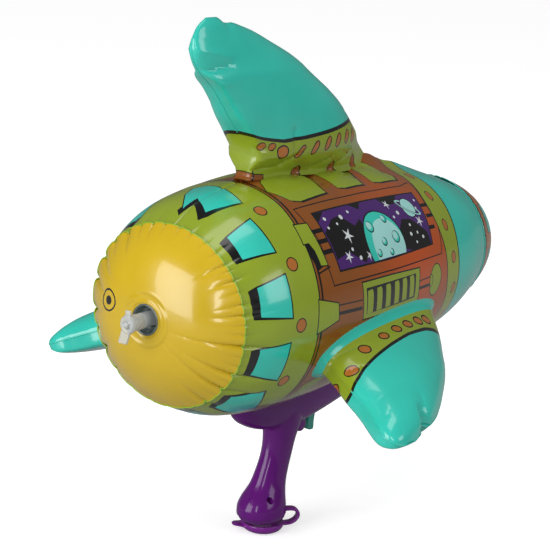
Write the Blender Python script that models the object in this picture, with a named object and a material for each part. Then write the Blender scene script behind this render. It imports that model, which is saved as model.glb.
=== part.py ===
"""Inflatable rocket mounted on a small trigger-pump water pistol.

The rocket's nose points along +X and its top fin along +Z. Every size below is in
millimetres, in the hull frame: X along the hull's axis with 0 at the widest part of the
tail, Z up from that axis. The parent empty lifts the hull frame so that the world's
origin is the centre of the filler cap's flat underside. Meshes are in metres.
"""
import math

import bmesh
import bpy
from mathutils import Matrix, Vector

MM = 0.001
GAP = 0.3
MERGE = 1e-7
FAR = 300.0

# Filler cap underside: the world's origin, seen from the hull frame
CAP_BASE_X = 80.5
HULL_AXIS_HEIGHT = 231.0

# Inflated hull: (x, radius) stations of the printed sides, from the tail seam to the nose seam
FILM = 0.8
HULL_STATIONS = (
    (-63.8, 78.9), (-36.0, 91.5), (0.0, 98.4), (58.0, 100.5), (117.0, 98.5),
    (180.0, 93.5), (240.0, 86.5), (291.0, 78.0), (335.3, 65.3),
)
TAIL_X, TAIL_R = HULL_STATIONS[0]
NOSE_X, NOSE_R = HULL_STATIONS[-1]
TAIL_DOME = 30.0
NOSE_DOME = 52.0
TAIL_CAP_HOLE_R = 13.0
HULL_STEPS = 32

# Top fin: (height, rear x, front x, half thickness), from inside the hull to the tip
TOP_FIN_ROWS = (
    (80.0, 29.0, 236.0, 19.0), (98.0, 27.0, 222.0, 19.0), (111.0, 24.5, 202.0, 22.5),
    (128.0, 23.0, 183.0, 25.0), (146.0, 10.0, 165.0, 25.0), (168.0, -10.0, 138.0, 23.0),
    (184.0, -27.0, 112.0, 20.5), (198.0, -43.0, 88.0, 16.0), (212.0, -49.0, 55.0, 12.0),
    (224.0, -46.5, 24.0, 8.5), (232.0, -40.0, -4.0, 5.5), (236.0, -33.0, -20.0, 2.5),
)
# Side fin: the same, along the radius through the fin
SIDE_FIN_ROWS = (
    (84.0, 28.0, 214.0, 16.0), (102.0, 27.0, 200.0, 17.5), (118.0, 23.0, 184.0, 20.0),
    (140.0, 15.0, 157.0, 21.5), (160.0, 8.0, 132.0, 21.0), (178.0, -2.0, 101.0, 19.0),
    (189.0, -8.0, 80.0, 16.5), (198.0, -9.0, 58.0, 12.0), (205.0, -5.0, 28.0, 6.0),
    (208.0, 0.0, 16.0, 2.5),
)
SIDE_FIN_DROOP = math.radians(22.9)
FIN_SECTION_HALF = 6
FIN_REAR_POWER, FIN_FRONT_POWER = 0.6, 1.2
FIN_BASE_LONG, FIN_BASE_WIDE = 100.0, 33.0
FIN_BASE_X = 113.0
AIR_PORT_R = 12.0
AIR_PORT_X = 100.0
AIR_PORT_SPAN = (60.0, 130.0)
HULL_OVERRUN = 20.0
CRADLE_OVERRUN = 30.0

# Pistol: (x, lowest z, half width) stations of the body under the hull
HOUSING_WALL = 2.0
CRADLE_GAP = 0.6
BODY_TOP = -80.0
BODY_ROUND = 20.0
BODY_STATIONS = (
    (24.0, -106.0, 6.0), (27.0, -111.5, 9.0), (33.0, -117.5, 12.0), (44.0, -123.5, 14.0),
    (58.0, -129.5, 15.0), (75.0, -134.0, 15.5), (100.0, -137.0, 15.5), (126.0, -138.0, 15.5),
    (150.0, -135.5, 15.0), (190.0, -129.5, 14.5), (226.0, -123.5, 14.0), (230.0, -120.5, 12.5),
)
BODY_FRONT_X = BODY_STATIONS[-1][0]
# Grip: (z, centre x, fore-aft half width, side half width)
GRIP_SECTIONS = (
    (-122.0, 104.0, 22.5, 15.0), (-136.0, 101.8, 19.8, 13.2), (-150.0, 99.0, 18.2, 12.4),
    (-164.0, 95.2, 17.6, 12.2), (-175.0, 90.7, 18.1, 12.8), (-189.0, 84.6, 19.8, 14.8),
    (-200.0, 79.0, 23.2, 18.8), (-206.0, 77.5, 24.6, 20.5), (-209.5, 77.5, 24.3, 20.3),
    (-214.0, 78.2, 23.3, 19.5), (-219.0, 79.6, 21.3, 18.0),
)
GRIP_BOTTOM_Z = GRIP_SECTIONS[-1][0]
SECTION_STEPS = 20
BODY_ARC_STEPS = 10

# Finger stop: the two cheeks ahead of the grip, and the slot the trigger swings in
CHEEK_X, CHEEK_Z, CHEEK_R, CHEEK_HALF = 125.5, -140.5, 6.5, 7.5
TRIGGER_SLOT_HALF = 3.7
TRIGGER_SLOT_X = (119.0, 158.0)

# Trigger and its pin
PIVOT_X, PIVOT_Z = 150.0, -113.0
TRIGGER_HALF = 3.0
TRIGGER_HUB_R = 4.2
TRIGGER_PIN_R = 1.5
TRIGGER_PIN_HALF = 12.0
PIN_HOLE_R = 1.85
PIN_HOLE_HALF = 12.4
PIN_BOSS_R = 3.6

# Pump, along X behind the trigger
PUMP_Z = -124.0
PUMP_BACK_X, PUMP_MOUTH_X = 84.0, 119.0
PUMP_R, PUMP_BORE = 7.2, 5.7
PUMP_BACK_WALL = 1.5
PISTON_X, PISTON_LENGTH = 106.0, 6.0
PISTON_R = 5.35
SEAL_R, SEAL_GROOVE_R, SEAL_HALF = 5.62, 4.4, 0.75
ROD_R = 2.2
ROD_END_X = 144.6
INLET_X, OUTLET_X = 90.0, 96.0
BALL_R, BALL_BORE, CHECK_R = 1.7, 2.2, 3.4
INLET_BOTTOM_Z, OUTLET_TOP_Z = -145.0, -104.0
INLET_BALL_Z, OUTLET_BALL_Z = -137.2, -115.2
BELOW_NECK_Z = -230.0
MOUTH_R, MOUTH_END_X = 4.6, 260.0
SPRING_R, SPRING_WIRE_R, SPRING_TURNS, SPRING_STEPS = 3.9, 0.45, 5, 10

# Water path
OUTLET_TUBE_Z = -106.3
OUTLET_TUBE_REACH, OUTLET_TUBE_END_X = 206.0, 219.0
INTAKE_FOOT = (84.0, 0.0, -206.0)
TUBE_R, TUBE_BORE = 1.7, 1.0
NOZZLE_Z = -109.0
NOZZLE_TIP_X = 238.0

# Tank, filler neck and filler cap
TANK_INSET = 2.9
TANK_WALL = 1.2
TANK_TOP_Z, TANK_BOTTOM_Z = -152.0, -213.0
TANK_PORT_X, TANK_PORT_R = 93.4, 2.6
NECK_R, NECK_BORE = 9.0, 7.8
NECK_BOTTOM_Z = -223.6
NECK_X = CAP_BASE_X
CAP_R = 19.3
CAP_TOP_Z = -224.4
CAP_BOTTOM_Z = -HULL_AXIS_HEIGHT
CAP_PLUG_R, CAP_PLUG_TOP_Z = 7.4, -214.5
CAP_FLAT_R = 16.0
TAB_R = 5.5
CAP_TURN = math.radians(-40.0)
STRAP_HALF_WIDTH = 4.0
STRAP_THICK = 2.4
STRAP_BEND, STRAP_REACH, STRAP_END = 7.0, 26.5, 16.5
STRAP_SLOT_CLEAR = 0.35

# Housing screws, (x, z, side): the grip's is driven from starboard (-1), the others from port (1)
SCREW_PLACES = (
    (44.0, -111.0, 1), (69.5, -197.0, -1), (128.0, -110.5, 1), (172.0, -119.0, 1), (214.0, -116.5, 1),
)
SCREW_R, SCREW_HEAD_R = 1.3, 2.6
SCREW_SEAT_OUT, SCREW_TIP_OUT = 7.0, -8.0
SCREW_HEAD_DEPTH = 2.0
SCREW_HOLE_R, SCREW_RECESS_R, SCREW_BOSS_R = 1.65, 3.0, 4.0
HOUSING_REACH = 25.0
RIB_PLACES = ((101.0, 103.0), (112.0, 114.0), (196.0, 198.0))
RIB_MIDDLE_Z, RIB_WIDE, RIB_TALL = -110.0, 40.0, 60.0

# Film tabs on the hull's lower seam, clamped between the pistol's halves
TAB_PLACES = (64.0, 184.0)
TAB_HALF_LENGTH = 9.0
TAB_DEPTH = 7.5

# Inflation valve on the tail's axis
VALVE_CUP_R = 12.6
VALVE_SLEEVE_R = 7.0
STEM_R, STEM_BORE = 6.6, 4.7
STEM_END_X, STEM_INNER_X = -112.0, -80.0
PLUG_R, PLUG_HEAD_R = 4.35, 7.6
PLUG_INNER_X = -104.0

TEAL = (0.045, 0.55, 0.46)
LIME = (0.31, 0.38, 0.02)
YELLOW = (0.65, 0.43, 0.02)
PURPLE = (0.085, 0.004, 0.16)
DARK_TEAL = (0.01, 0.22, 0.17)
CLEAR = (0.75, 0.77, 0.76)
WHITE = (0.8, 0.8, 0.78)
STEEL = (0.6, 0.6, 0.62)
RUBBER = (0.03, 0.03, 0.03)


def clear_scene():
    for obj in list(bpy.data.objects):
        bpy.data.objects.remove(obj, do_unlink=True)


def new_collection(name):
    collection = bpy.data.collections.new(name)
    bpy.context.scene.collection.children.link(collection)
    return collection


def make_material(name, colour, roughness, metallic=0.0):
    material = bpy.data.materials.new(name)
    material.use_nodes = True
    shader = material.node_tree.nodes["Principled BSDF"]
    shader.inputs["Base Color"].default_value = (*colour, 1.0)
    shader.inputs["Roughness"].default_value = roughness
    shader.inputs["Metallic"].default_value = metallic
    return material


def add_object(name, bm, colour=None, roughness=0.25, metallic=0.0, sharp=35.0):
    """Turns a bmesh in hull-frame millimetres into an object: a part, or a cutter without colour."""
    bmesh.ops.remove_doubles(bm, verts=bm.verts, dist=MERGE / MM)
    bmesh.ops.recalc_face_normals(bm, faces=bm.faces)
    bmesh.ops.transform(bm, matrix=Matrix.Scale(MM, 4), verts=bm.verts)
    mesh = bpy.data.meshes.new(name)
    bm.to_mesh(mesh)
    bm.free()
    obj = bpy.data.objects.new(name, mesh)
    obj.parent = HULL_FRAME
    if colour is None:
        CUTTERS.objects.link(obj)
        obj.hide_render = True
        obj.display_type = "WIRE"
        return obj
    ROCKET.objects.link(obj)
    mesh.materials.append(make_material(name, colour, roughness, metallic))
    mesh.shade_smooth()
    mesh.set_sharp_from_angle(angle=math.radians(sharp))
    return obj


def boolean(obj, operation, *others):
    for other in others:
        modifier = obj.modifiers.new(other.name, "BOOLEAN")
        modifier.object = other
        modifier.operation = operation
        modifier.solver = "EXACT"
    return obj


def loft(rings):
    """Closed skin through rings of equally many points, with a flat cap at each end."""
    bm = bmesh.new()
    rows = [[bm.verts.new(point) for point in ring] for ring in rings]
    count = len(rows[0])
    for low, high in zip(rows, rows[1:]):
        for i in range(count):
            j = (i + 1) % count
            bm.faces.new((low[i], low[j], high[j], high[i]))
    bm.faces.new(rows[0])
    bm.faces.new(rows[-1])
    return bm


def turned(profile, steps, axis="X", centre=(0.0, 0.0, 0.0)):
    """Spins a profile of (along, radius) points a full turn about an axis through centre."""
    bm = bmesh.new()
    centre = Vector(centre)
    along, out = {
        "X": (Vector((1, 0, 0)), Vector((0, 0, 1))),
        "Y": (Vector((0, 1, 0)), Vector((1, 0, 0))),
        "Z": (Vector((0, 0, 1)), Vector((1, 0, 0))),
    }[axis]
    verts = [bm.verts.new(centre + along * a + out * r) for a, r in profile]
    closed = all(r > 0 for _, r in profile)
    edges = [bm.edges.new(pair) for pair in zip(verts, verts[1:])]
    if closed:
        edges.append(bm.edges.new((verts[-1], verts[0])))
    bmesh.ops.spin(
        bm, geom=verts + edges, cent=centre, axis=along, angle=math.tau, steps=steps, use_merge=True,
    )
    bmesh.ops.remove_doubles(bm, verts=bm.verts, dist=MERGE / MM)
    return bm


def box(low, high):
    bm = bmesh.new()
    low, high = Vector(low), Vector(high)
    size = Matrix.Diagonal((*(high - low), 1.0))
    bmesh.ops.create_cube(bm, size=1.0, matrix=Matrix.Translation((low + high) / 2) @ size)
    return bm


def rod(radius, start, end, steps=20):
    """Closed cylinder between two points."""
    start, end = Vector(start), Vector(end)
    span = end - start
    turn = span.to_track_quat("Z", "Y").to_matrix().to_4x4()
    bm = bmesh.new()
    bmesh.ops.create_cone(
        bm, cap_ends=True, segments=steps, radius1=radius, radius2=radius, depth=span.length,
        matrix=Matrix.Translation((start + end) / 2) @ turn,
    )
    return bm


def hermite(points, x):
    """Smooth curve through (x, value) points, with slopes from the neighbours."""
    last = len(points) - 1
    i = 0
    while i < last - 1 and x > points[i + 1][0]:
        i += 1
    (x0, y0), (x1, y1) = points[i], points[i + 1]
    before, after = points[max(i - 1, 0)], points[min(i + 2, last)]
    slope0 = (y1 - before[1]) / (x1 - before[0])
    slope1 = (after[1] - y0) / (after[0] - x0)
    width = x1 - x0
    t = (x - x0) / width
    a = 2 * t**3 - 3 * t**2 + 1
    b = (t**3 - 2 * t**2 + t) * width
    c = 3 * t**2 - 2 * t**3
    d = (t**3 - t**2) * width
    return a * y0 + b * slope0 + c * y1 + d * slope1


def hull_radius(x):
    return hermite(HULL_STATIONS, min(max(x, TAIL_X), NOSE_X))


def hull_profile(offset, overrun=0.0, stations=12):
    """Profile of the hull's sides from tail to nose, moved out by offset and closed on the axis."""
    points = [(TAIL_X - overrun, 0.0)]
    if overrun:
        points.append((TAIL_X - overrun, TAIL_R + offset))
    for i in range(stations + 1):
        x = TAIL_X + (NOSE_X - TAIL_X) * i / stations
        points.append((x, hull_radius(x) + offset))
    if overrun:
        points.append((NOSE_X + overrun, NOSE_R + offset))
    points.append((NOSE_X + overrun, 0.0))
    return points


def hull_solid(name, offset, overrun=0.0):
    return add_object(name, turned(hull_profile(offset, overrun), HULL_STEPS))


def fin_ring(row, inset):
    """Section across a fin that stands along Z: blunt at the rear and thin at the front."""
    height, rear, front, half = row
    middle, reach = (rear + front) / 2, (front - rear) / 2 - inset
    points = []
    steps = 2 * FIN_SECTION_HALF
    for i in range(2 * steps):
        angle = math.pi * i / steps
        across = math.sin(angle)
        power = FIN_REAR_POWER if math.cos(angle) > 0 else FIN_FRONT_POWER
        y = math.copysign(abs(across) ** power, across) * (half - inset)
        points.append((middle - reach * math.cos(angle), y, height))
    return points


def fin_solid(name, rows, inset, turn=0.0, colour=None):
    """Whole fin, or with an inset the hollow inside its film, which stops one row below the tip."""
    if inset:
        root = (rows[0][0] - 2 * inset, *rows[0][1:])
        rows = (root, *rows[1:-1])
    obj = add_object(name, loft([fin_ring(row, inset) for row in rows]), colour, 0.2)
    obj.rotation_euler.x = turn
    return obj


def side_of(name, low_y, high_y, turn=0.0):
    obj = add_object(name, box((-FAR, low_y, -FAR), (2 * FAR, high_y, FAR)))
    obj.rotation_euler.x = turn
    return obj


def cut_air_port(name, turn):
    """Round passage between the hull and a side fin."""
    start, end = AIR_PORT_SPAN
    passage = add_object(f"cut_air_{name}", rod(AIR_PORT_R, (AIR_PORT_X, 0, start), (AIR_PORT_X, 0, end), 16))
    passage.rotation_euler.x = turn
    return passage


def build_hull():
    """Two printed sides, mirrored about the seam plane, each with half of the top fin."""
    fin_outer = fin_solid("cut_top_fin", TOP_FIN_ROWS, 0.0)
    inner = hull_solid("cut_hull_inside", -FILM, HULL_OVERRUN)
    boolean(inner, "UNION", fin_solid("cut_top_fin_inside", TOP_FIN_ROWS, FILM))
    for name, side, sign in (("starboard", "cut_port_half", -1), ("port", "cut_starboard_half", 1)):
        panel = add_object(f"hull_{name}_panel", turned(hull_profile(0.0), HULL_STEPS), LIME)
        keep_off = sorted((-sign * FAR, sign * GAP / 2))
        air_port = cut_air_port(name, -sign * side_fin_turn())
        boolean(panel, "UNION", fin_outer)
        boolean(panel, "DIFFERENCE", side_of(side, *keep_off), inner, air_port)


def dome_profile(seam_x, seam_r, height, direction, inset, hole_r, steps=7):
    """Elliptical dome beyond a seam, from its rim to the hole round its axis."""
    reach_x, reach_r = height - inset, seam_r - inset
    last = math.acos(hole_r / reach_r)
    points = []
    for i in range(steps + 1):
        angle = last * i / steps
        points.append((seam_x + direction * reach_x * math.sin(angle), reach_r * math.cos(angle)))
    return points


def build_end_cap(name, seam_x, seam_r, height, direction, hole_r, colour):
    start = seam_x + direction * GAP
    outside = dome_profile(start, seam_r, height, direction, 0.0, hole_r)
    inside = dome_profile(start, seam_r, height, direction, FILM, hole_r)
    add_object(name, turned(outside + inside[::-1], HULL_STEPS), colour)


def side_fin_turn():
    """Turn about X from straight up to the starboard fin's plane."""
    return math.pi / 2 + SIDE_FIN_DROOP


def build_side_fin(name, sign):
    """One side fin: an upper and a lower panel, cut to rest on the hull."""
    turn = sign * side_fin_turn()
    keep_out = hull_solid(f"cut_hull_{name}", FILM + 2 * GAP)
    inside = fin_solid(f"cut_{name}_fin_inside", SIDE_FIN_ROWS, FILM, turn)
    for level, local_side in (("upper", sign), ("lower", -sign)):
        panel = fin_solid(f"{name}_fin_{level}", SIDE_FIN_ROWS, 0.0, turn, TEAL)
        keep_off = sorted((-local_side * FAR, local_side * GAP / 2))
        boolean(panel, "DIFFERENCE", inside, side_of(f"cut_{name}_{level}", *keep_off, turn), keep_out)


def build_fin_base(name, sign):
    """Oval film patch lying on the hull round the root of a side fin, with an air port."""
    patch = add_object(f"{name}_fin_base", turned(hull_profile(GAP + FILM), HULL_STEPS), TEAL)
    turn = sign * side_fin_turn()
    oval = rod(1.0, (0, 0, AIR_PORT_SPAN[0]), (0, 0, AIR_PORT_SPAN[1]), 40)
    stretch = Matrix.Diagonal((FIN_BASE_LONG, FIN_BASE_WIDE, 1.0, 1.0))
    bmesh.ops.transform(oval, matrix=Matrix.Translation((FIN_BASE_X, 0, 0)) @ stretch, verts=oval.verts)
    outline = add_object(f"cut_{name}_oval", oval)
    outline.rotation_euler.x = turn
    boolean(patch, "INTERSECT", outline)
    boolean(patch, "DIFFERENCE", hull_solid(f"cut_{name}_lift", GAP), cut_air_port(f"{name}_patch", turn))


def build_valve():
    """Soft inflation valve: cup in the tail cap, sliding stem, one-way flap and tethered plug."""
    rim_x = TAIL_X - GAP - TAIL_DOME + 0.4
    cup = (
        (rim_x, 11.4), (rim_x, VALVE_CUP_R), (rim_x + 1.9, VALVE_CUP_R), (rim_x + 2.6, 18.0),
        (rim_x + 3.4, 18.0), (rim_x + 3.4, VALVE_CUP_R), (-83.8, VALVE_CUP_R),
        (-83.8, VALVE_SLEEVE_R), (-85.0, VALVE_SLEEVE_R), (-85.0, 11.4),
    )
    add_object("valve_base", turned(cup, 20), CLEAR, 0.3)
    stem = (
        (STEM_END_X, STEM_BORE), (STEM_END_X, STEM_R), (-109.0, STEM_R), (-108.4, STEM_R - 0.7),
        (-106.6, STEM_R - 0.7), (-106.0, STEM_R), (-102.0, STEM_R), (-101.4, STEM_R - 0.7),
        (-99.6, STEM_R - 0.7), (-99.0, STEM_R), (STEM_INNER_X, STEM_R), (STEM_INNER_X, STEM_BORE),
    )
    add_object("valve_stem", turned(stem, 16), CLEAR, 0.2)
    flap = rod(STEM_R - 0.4, (STEM_INNER_X + GAP, 0, 0), (STEM_INNER_X + GAP + 0.6, 0, 0), 24)
    add_object("valve_flap", flap, CLEAR, 0.3)
    head_x = STEM_END_X - GAP
    plug = (
        (PLUG_INNER_X, 0.0), (PLUG_INNER_X, PLUG_R - 0.5), (PLUG_INNER_X - 1.0, PLUG_R), (head_x, PLUG_R),
        (head_x, PLUG_HEAD_R), (head_x - 3.0, PLUG_HEAD_R), (head_x - 4.2, PLUG_HEAD_R - 1.4),
        (head_x - 4.2, 3.2), (head_x - 6.0, 2.8), (head_x - 6.4, 0.0),
    )
    obj = add_object("valve_plug", turned(plug, 16), CLEAR, 0.15)
    tether = add_object("cut_tether", box((head_x - 3.0, -4.5, -17.0), (head_x - 0.8, 4.5, 11.5)))
    boolean(obj, "UNION", tether)


def body_ring(station, inset):
    """Section of the pistol's body: flat sides, rounded towards its lowest line."""
    x, low, half = station
    half -= inset
    low += inset
    waist = low + BODY_ROUND
    points = [(x, half, BODY_TOP), (x, -half, BODY_TOP)]
    for i in range(BODY_ARC_STEPS + 1):
        angle = math.pi * i / BODY_ARC_STEPS
        flat = math.copysign(abs(math.cos(angle)) ** 0.7, math.cos(angle))
        drop = math.sin(angle) ** 0.75
        points.append((x, -half * flat, waist - BODY_ROUND * drop))
    return points


def body_solid(inset):
    rings = [body_ring(station, inset) for station in BODY_STATIONS]
    if inset:
        rings = rings[1:]
        rings[-1] = [(BODY_FRONT_X - inset, y, z) for _, y, z in rings[-1]]
    return loft(rings)


def ellipse_ring(z, centre_x, long, wide):
    points = []
    for i in range(SECTION_STEPS):
        angle = math.tau * i / SECTION_STEPS
        points.append((centre_x + long * math.cos(angle), wide * math.sin(angle), z))
    return points


def grip_solid(inset):
    rings = []
    for z, centre_x, long, wide in GRIP_SECTIONS:
        depth = z + (inset if z == GRIP_BOTTOM_Z else 0.0)
        rings.append(ellipse_ring(depth, centre_x, long - inset, wide - inset))
    return loft(rings)


def grip_at(z):
    """Centre x, fore-aft and side half widths of the grip at a height."""
    rows = sorted(GRIP_SECTIONS)
    return [hermite([(row[0], row[i]) for row in rows], z) for i in (1, 2, 3)]


def turn_about_neck(obj):
    """Turns an object built round the origin with the cap, then sets it on the filler neck's axis."""
    obj.location.x = NECK_X * MM
    obj.rotation_euler.z = CAP_TURN
    return obj


def strap_path():
    """Filler cap's strap from the neck's axis: out from the cap, round a bend and back to the grip."""
    low_z = CAP_BOTTOM_Z + 4.0
    middle_z = low_z + STRAP_BEND
    path = [Vector((CAP_R + GAP, 0, low_z))]
    steps = 8
    for i in range(steps + 1):
        angle = -math.pi / 2 + math.pi * i / steps
        out, up = STRAP_BEND * math.cos(angle), STRAP_BEND * math.sin(angle)
        path.append(Vector((STRAP_REACH + out, 0, middle_z + up)))
    path.append(Vector((STRAP_END, 0, low_z + 2 * STRAP_BEND + 0.6)))
    return path


def build_strap():
    path = strap_path()
    rings = []
    for i, point in enumerate(path):
        ahead = path[min(i + 1, len(path) - 1)] - path[max(i - 1, 0)]
        side = Vector((-ahead.z, 0, ahead.x)).normalized() * STRAP_THICK / 2
        half = Vector((0, STRAP_HALF_WIDTH, 0))
        rings.append([point + side + half, point - side + half, point - side - half, point + side - half])
    return turn_about_neck(add_object("cap_strap", loft(rings), PURPLE, 0.3))


def cut_strap_slot():
    end = strap_path()[-1]
    half = STRAP_THICK / 2 + STRAP_SLOT_CLEAR
    width = STRAP_HALF_WIDTH + STRAP_SLOT_CLEAR
    slot = box((STRAP_END - 2.5, -width, end.z - half), (30.0, width, end.z + half))
    return turn_about_neck(add_object("cut_strap_slot", slot))


def pump_clearances():
    """Room round the pump, its outlet chamber and the outlet tube."""
    pump = rod(PUMP_R + 0.4, (PUMP_BACK_X - 2, 0, PUMP_Z), (PUMP_MOUTH_X + 2, 0, PUMP_Z), 24)
    tube = box((OUTLET_X - 3, -2.4, OUTLET_TUBE_Z - 2.6), (209.0, 2.4, OUTLET_TUBE_Z + 2.2))
    return [add_object("cut_pump_room", pump), add_object("cut_tube_room", tube)]


def housing_ribs():
    """Cross walls that hold the pump and the barrel's tube, and the places of the bosses."""
    bm = bmesh.new()
    for low_x, high_x in RIB_PLACES:
        size = Matrix.Diagonal((high_x - low_x, RIB_WIDE, RIB_TALL, 1.0))
        place = Matrix.Translation(((low_x + high_x) / 2, 0, RIB_MIDDLE_Z))
        bmesh.ops.create_cube(bm, size=1.0, matrix=place @ size)
    bosses = [((x, z), SCREW_BOSS_R) for x, z, _ in SCREW_PLACES]
    bosses.append(((PIVOT_X, PIVOT_Z), PIN_BOSS_R))
    return add_object("cut_ribs", bm), bosses


def housing_inside():
    """Hollow of the pistol: its outer shape less the wall, less the ribs and screw bosses."""
    inside = add_object("cut_body_inside", body_solid(HOUSING_WALL))
    grip = add_object("cut_grip_inside", grip_solid(HOUSING_WALL))
    ribs, bosses = housing_ribs()
    boolean(inside, "UNION", grip)
    cradle = hull_solid("cut_cradle_inside", CRADLE_GAP + HOUSING_WALL, CRADLE_OVERRUN)
    boolean(inside, "DIFFERENCE", cradle, ribs)
    for i, ((x, z), radius) in enumerate(bosses):
        boss = rod(radius, (x, -HOUSING_REACH, z), (x, HOUSING_REACH, z), 12)
        boolean(inside, "DIFFERENCE", add_object(f"cut_boss_{i}", boss))
    return inside


def cut_trigger_slot():
    low = (TRIGGER_SLOT_X[0], -TRIGGER_SLOT_HALF, -160.0)
    high = (TRIGGER_SLOT_X[1], TRIGGER_SLOT_HALF, PIVOT_Z + TRIGGER_HUB_R + 1.3)
    return add_object("cut_trigger_slot", box(low, high))


def screw_cuts(i, x, z, side):
    """Head recess from the side the screw is driven from, and the hole for its shank."""
    recess = rod(SCREW_RECESS_R, (x, side * HOUSING_REACH, z), (x, side * SCREW_SEAT_OUT, z), 18)
    shank_start, shank_end = SCREW_SEAT_OUT + 1, SCREW_TIP_OUT - 1
    shank = rod(SCREW_HOLE_R, (x, side * shank_start, z), (x, side * shank_end, z), 14)
    return add_object(f"cut_recess_{i}", recess), add_object(f"cut_shank_{i}", shank)


def build_housing():
    inside = housing_inside()
    grip = add_object("cut_grip", grip_solid(0.0))
    cheeks = rod(CHEEK_R, (CHEEK_X, -CHEEK_HALF, CHEEK_Z), (CHEEK_X, CHEEK_HALF, CHEEK_Z), 24)
    cheeks = add_object("cut_cheeks", cheeks)
    cradle = hull_solid("cut_cradle", CRADLE_GAP, CRADLE_OVERRUN)
    neck = rod(NECK_R + 0.5, (NECK_X, 0, BELOW_NECK_Z), (NECK_X, 0, GRIP_BOTTOM_Z + 4.0), 24)
    neck = add_object("cut_neck", neck)
    mouth = rod(MOUTH_R, (BODY_FRONT_X - 4, 0, NOZZLE_Z), (MOUTH_END_X, 0, NOZZLE_Z), 20)
    mouth = add_object("cut_mouth", mouth)
    pin = rod(PIN_HOLE_R, (PIVOT_X, -PIN_HOLE_HALF, PIVOT_Z), (PIVOT_X, PIN_HOLE_HALF, PIVOT_Z), 16)
    tabs = [add_object(f"cut_tab_{i}", tab_box(x, 0.5)) for i, x in enumerate(TAB_PLACES)]
    cuts = [inside, cradle, *pump_clearances(), cut_trigger_slot(), neck, mouth]
    cuts.extend([add_object("cut_pin", pin), cut_strap_slot(), *tabs])
    for i, place in enumerate(SCREW_PLACES):
        cuts.extend(screw_cuts(i, *place))
    for name, sign in (("starboard", -1), ("port", 1)):
        half = add_object(f"housing_{name}", body_solid(0.0), PURPLE, 0.2)
        keep_off = sorted((-sign * FAR, sign * GAP / 2))
        boolean(half, "UNION", grip, cheeks)
        boolean(half, "DIFFERENCE", *cuts, side_of(f"cut_half_{name}", *keep_off))


def tab_box(x, clear):
    """Film tab on the hull's lower seam, between the housing halves."""
    top = -max(hull_radius(x - TAB_HALF_LENGTH), hull_radius(x + TAB_HALF_LENGTH)) - GAP
    half = FILM / 2 + clear
    reach = TAB_HALF_LENGTH + clear
    return box((x - reach, -half, top - TAB_DEPTH - clear), (x + reach, half, top + 10 * clear))


def build_tabs():
    for name, x in zip(("rear", "front"), TAB_PLACES):
        add_object(f"belly_tab_{name}", tab_box(x, 0.0), LIME, 0.3)


def build_trigger():
    """Blade that hangs from the pivot, hollowed in front for the finger."""
    outline = (
        (-3.4, 1.0), (-2.6, -8.0), (-4.4, -10.0), (-5.2, -14.0), (-7.4, -20.0), (-9.6, -27.0),
        (-10.4, -33.0), (-9.2, -37.0), (-6.4, -38.6), (-1.6, -39.0), (-0.4, -37.0), (-0.6, -31.0),
        (0.4, -26.0), (1.0, -14.0), (3.4, 0.0),
    )
    bm = bmesh.new()
    verts = [bm.verts.new((PIVOT_X + x, -TRIGGER_HALF, PIVOT_Z + z)) for x, z in outline]
    face = bm.faces.new(verts)
    extruded = bmesh.ops.extrude_face_region(bm, geom=[face])
    moved = [v for v in extruded["geom"] if isinstance(v, bmesh.types.BMVert)]
    bmesh.ops.translate(bm, vec=(0, 2 * TRIGGER_HALF, 0), verts=moved)
    obj = add_object("trigger", bm, DARK_TEAL, 0.25)
    hub = rod(TRIGGER_HUB_R, (PIVOT_X, -TRIGGER_HALF, PIVOT_Z), (PIVOT_X, TRIGGER_HALF, PIVOT_Z), 24)
    hole = rod(PIN_HOLE_R, (PIVOT_X, -8, PIVOT_Z), (PIVOT_X, 8, PIVOT_Z), 20)
    boolean(obj, "UNION", add_object("cut_hub", hub))
    boolean(obj, "DIFFERENCE", add_object("cut_hub_hole", hole))
    pin = rod(TRIGGER_PIN_R, (PIVOT_X, -TRIGGER_PIN_HALF, PIVOT_Z), (PIVOT_X, TRIGGER_PIN_HALF, PIVOT_Z), 20)
    add_object("trigger_pin", pin, STEEL, 0.3, 1.0)


def build_pump_cylinder():
    """Cylinder with its inlet check chamber below and its outlet check chamber above."""
    outer = rod(PUMP_R, (PUMP_BACK_X, 0, PUMP_Z), (PUMP_MOUTH_X, 0, PUMP_Z), 20)
    obj = add_object("pump_cylinder", outer, WHITE, 0.3)
    inlet = rod(CHECK_R, (INLET_X, 0, PUMP_Z), (INLET_X, 0, INLET_BOTTOM_Z), 20)
    outlet = rod(CHECK_R, (OUTLET_X, 0, PUMP_Z), (OUTLET_X, 0, OUTLET_TOP_Z), 20)
    bore = rod(PUMP_BORE, (PUMP_BACK_X + PUMP_BACK_WALL, 0, PUMP_Z), (PUMP_MOUTH_X + 5, 0, PUMP_Z), 20)
    inlet_seat = turned(((-150.0, 0.0), (-150.0, 1.2), (-139.6, 1.2), (-138.8, BALL_BORE), (PUMP_Z, BALL_BORE),
                         (PUMP_Z, 0.0)), 20, "Z", (INLET_X, 0, 0))
    ceiling = OUTLET_TOP_Z - 1.0
    outlet_seat = turned(((PUMP_Z, 0.0), (PUMP_Z, 1.2), (-117.6, 1.2), (-116.8, BALL_BORE), (ceiling, BALL_BORE),
                          (ceiling, 0.0)), 20, "Z", (OUTLET_X, 0, 0))
    side_port = rod(TUBE_BORE, (OUTLET_X, 0, OUTLET_TUBE_Z), (OUTLET_X + 6, 0, OUTLET_TUBE_Z), 12)
    boolean(obj, "UNION", add_object("cut_inlet", inlet), add_object("cut_outlet", outlet))
    boolean(obj, "DIFFERENCE", add_object("cut_bore", bore), add_object("cut_inlet_seat", inlet_seat),
            add_object("cut_outlet_seat", outlet_seat), add_object("cut_side_port", side_port))


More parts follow.
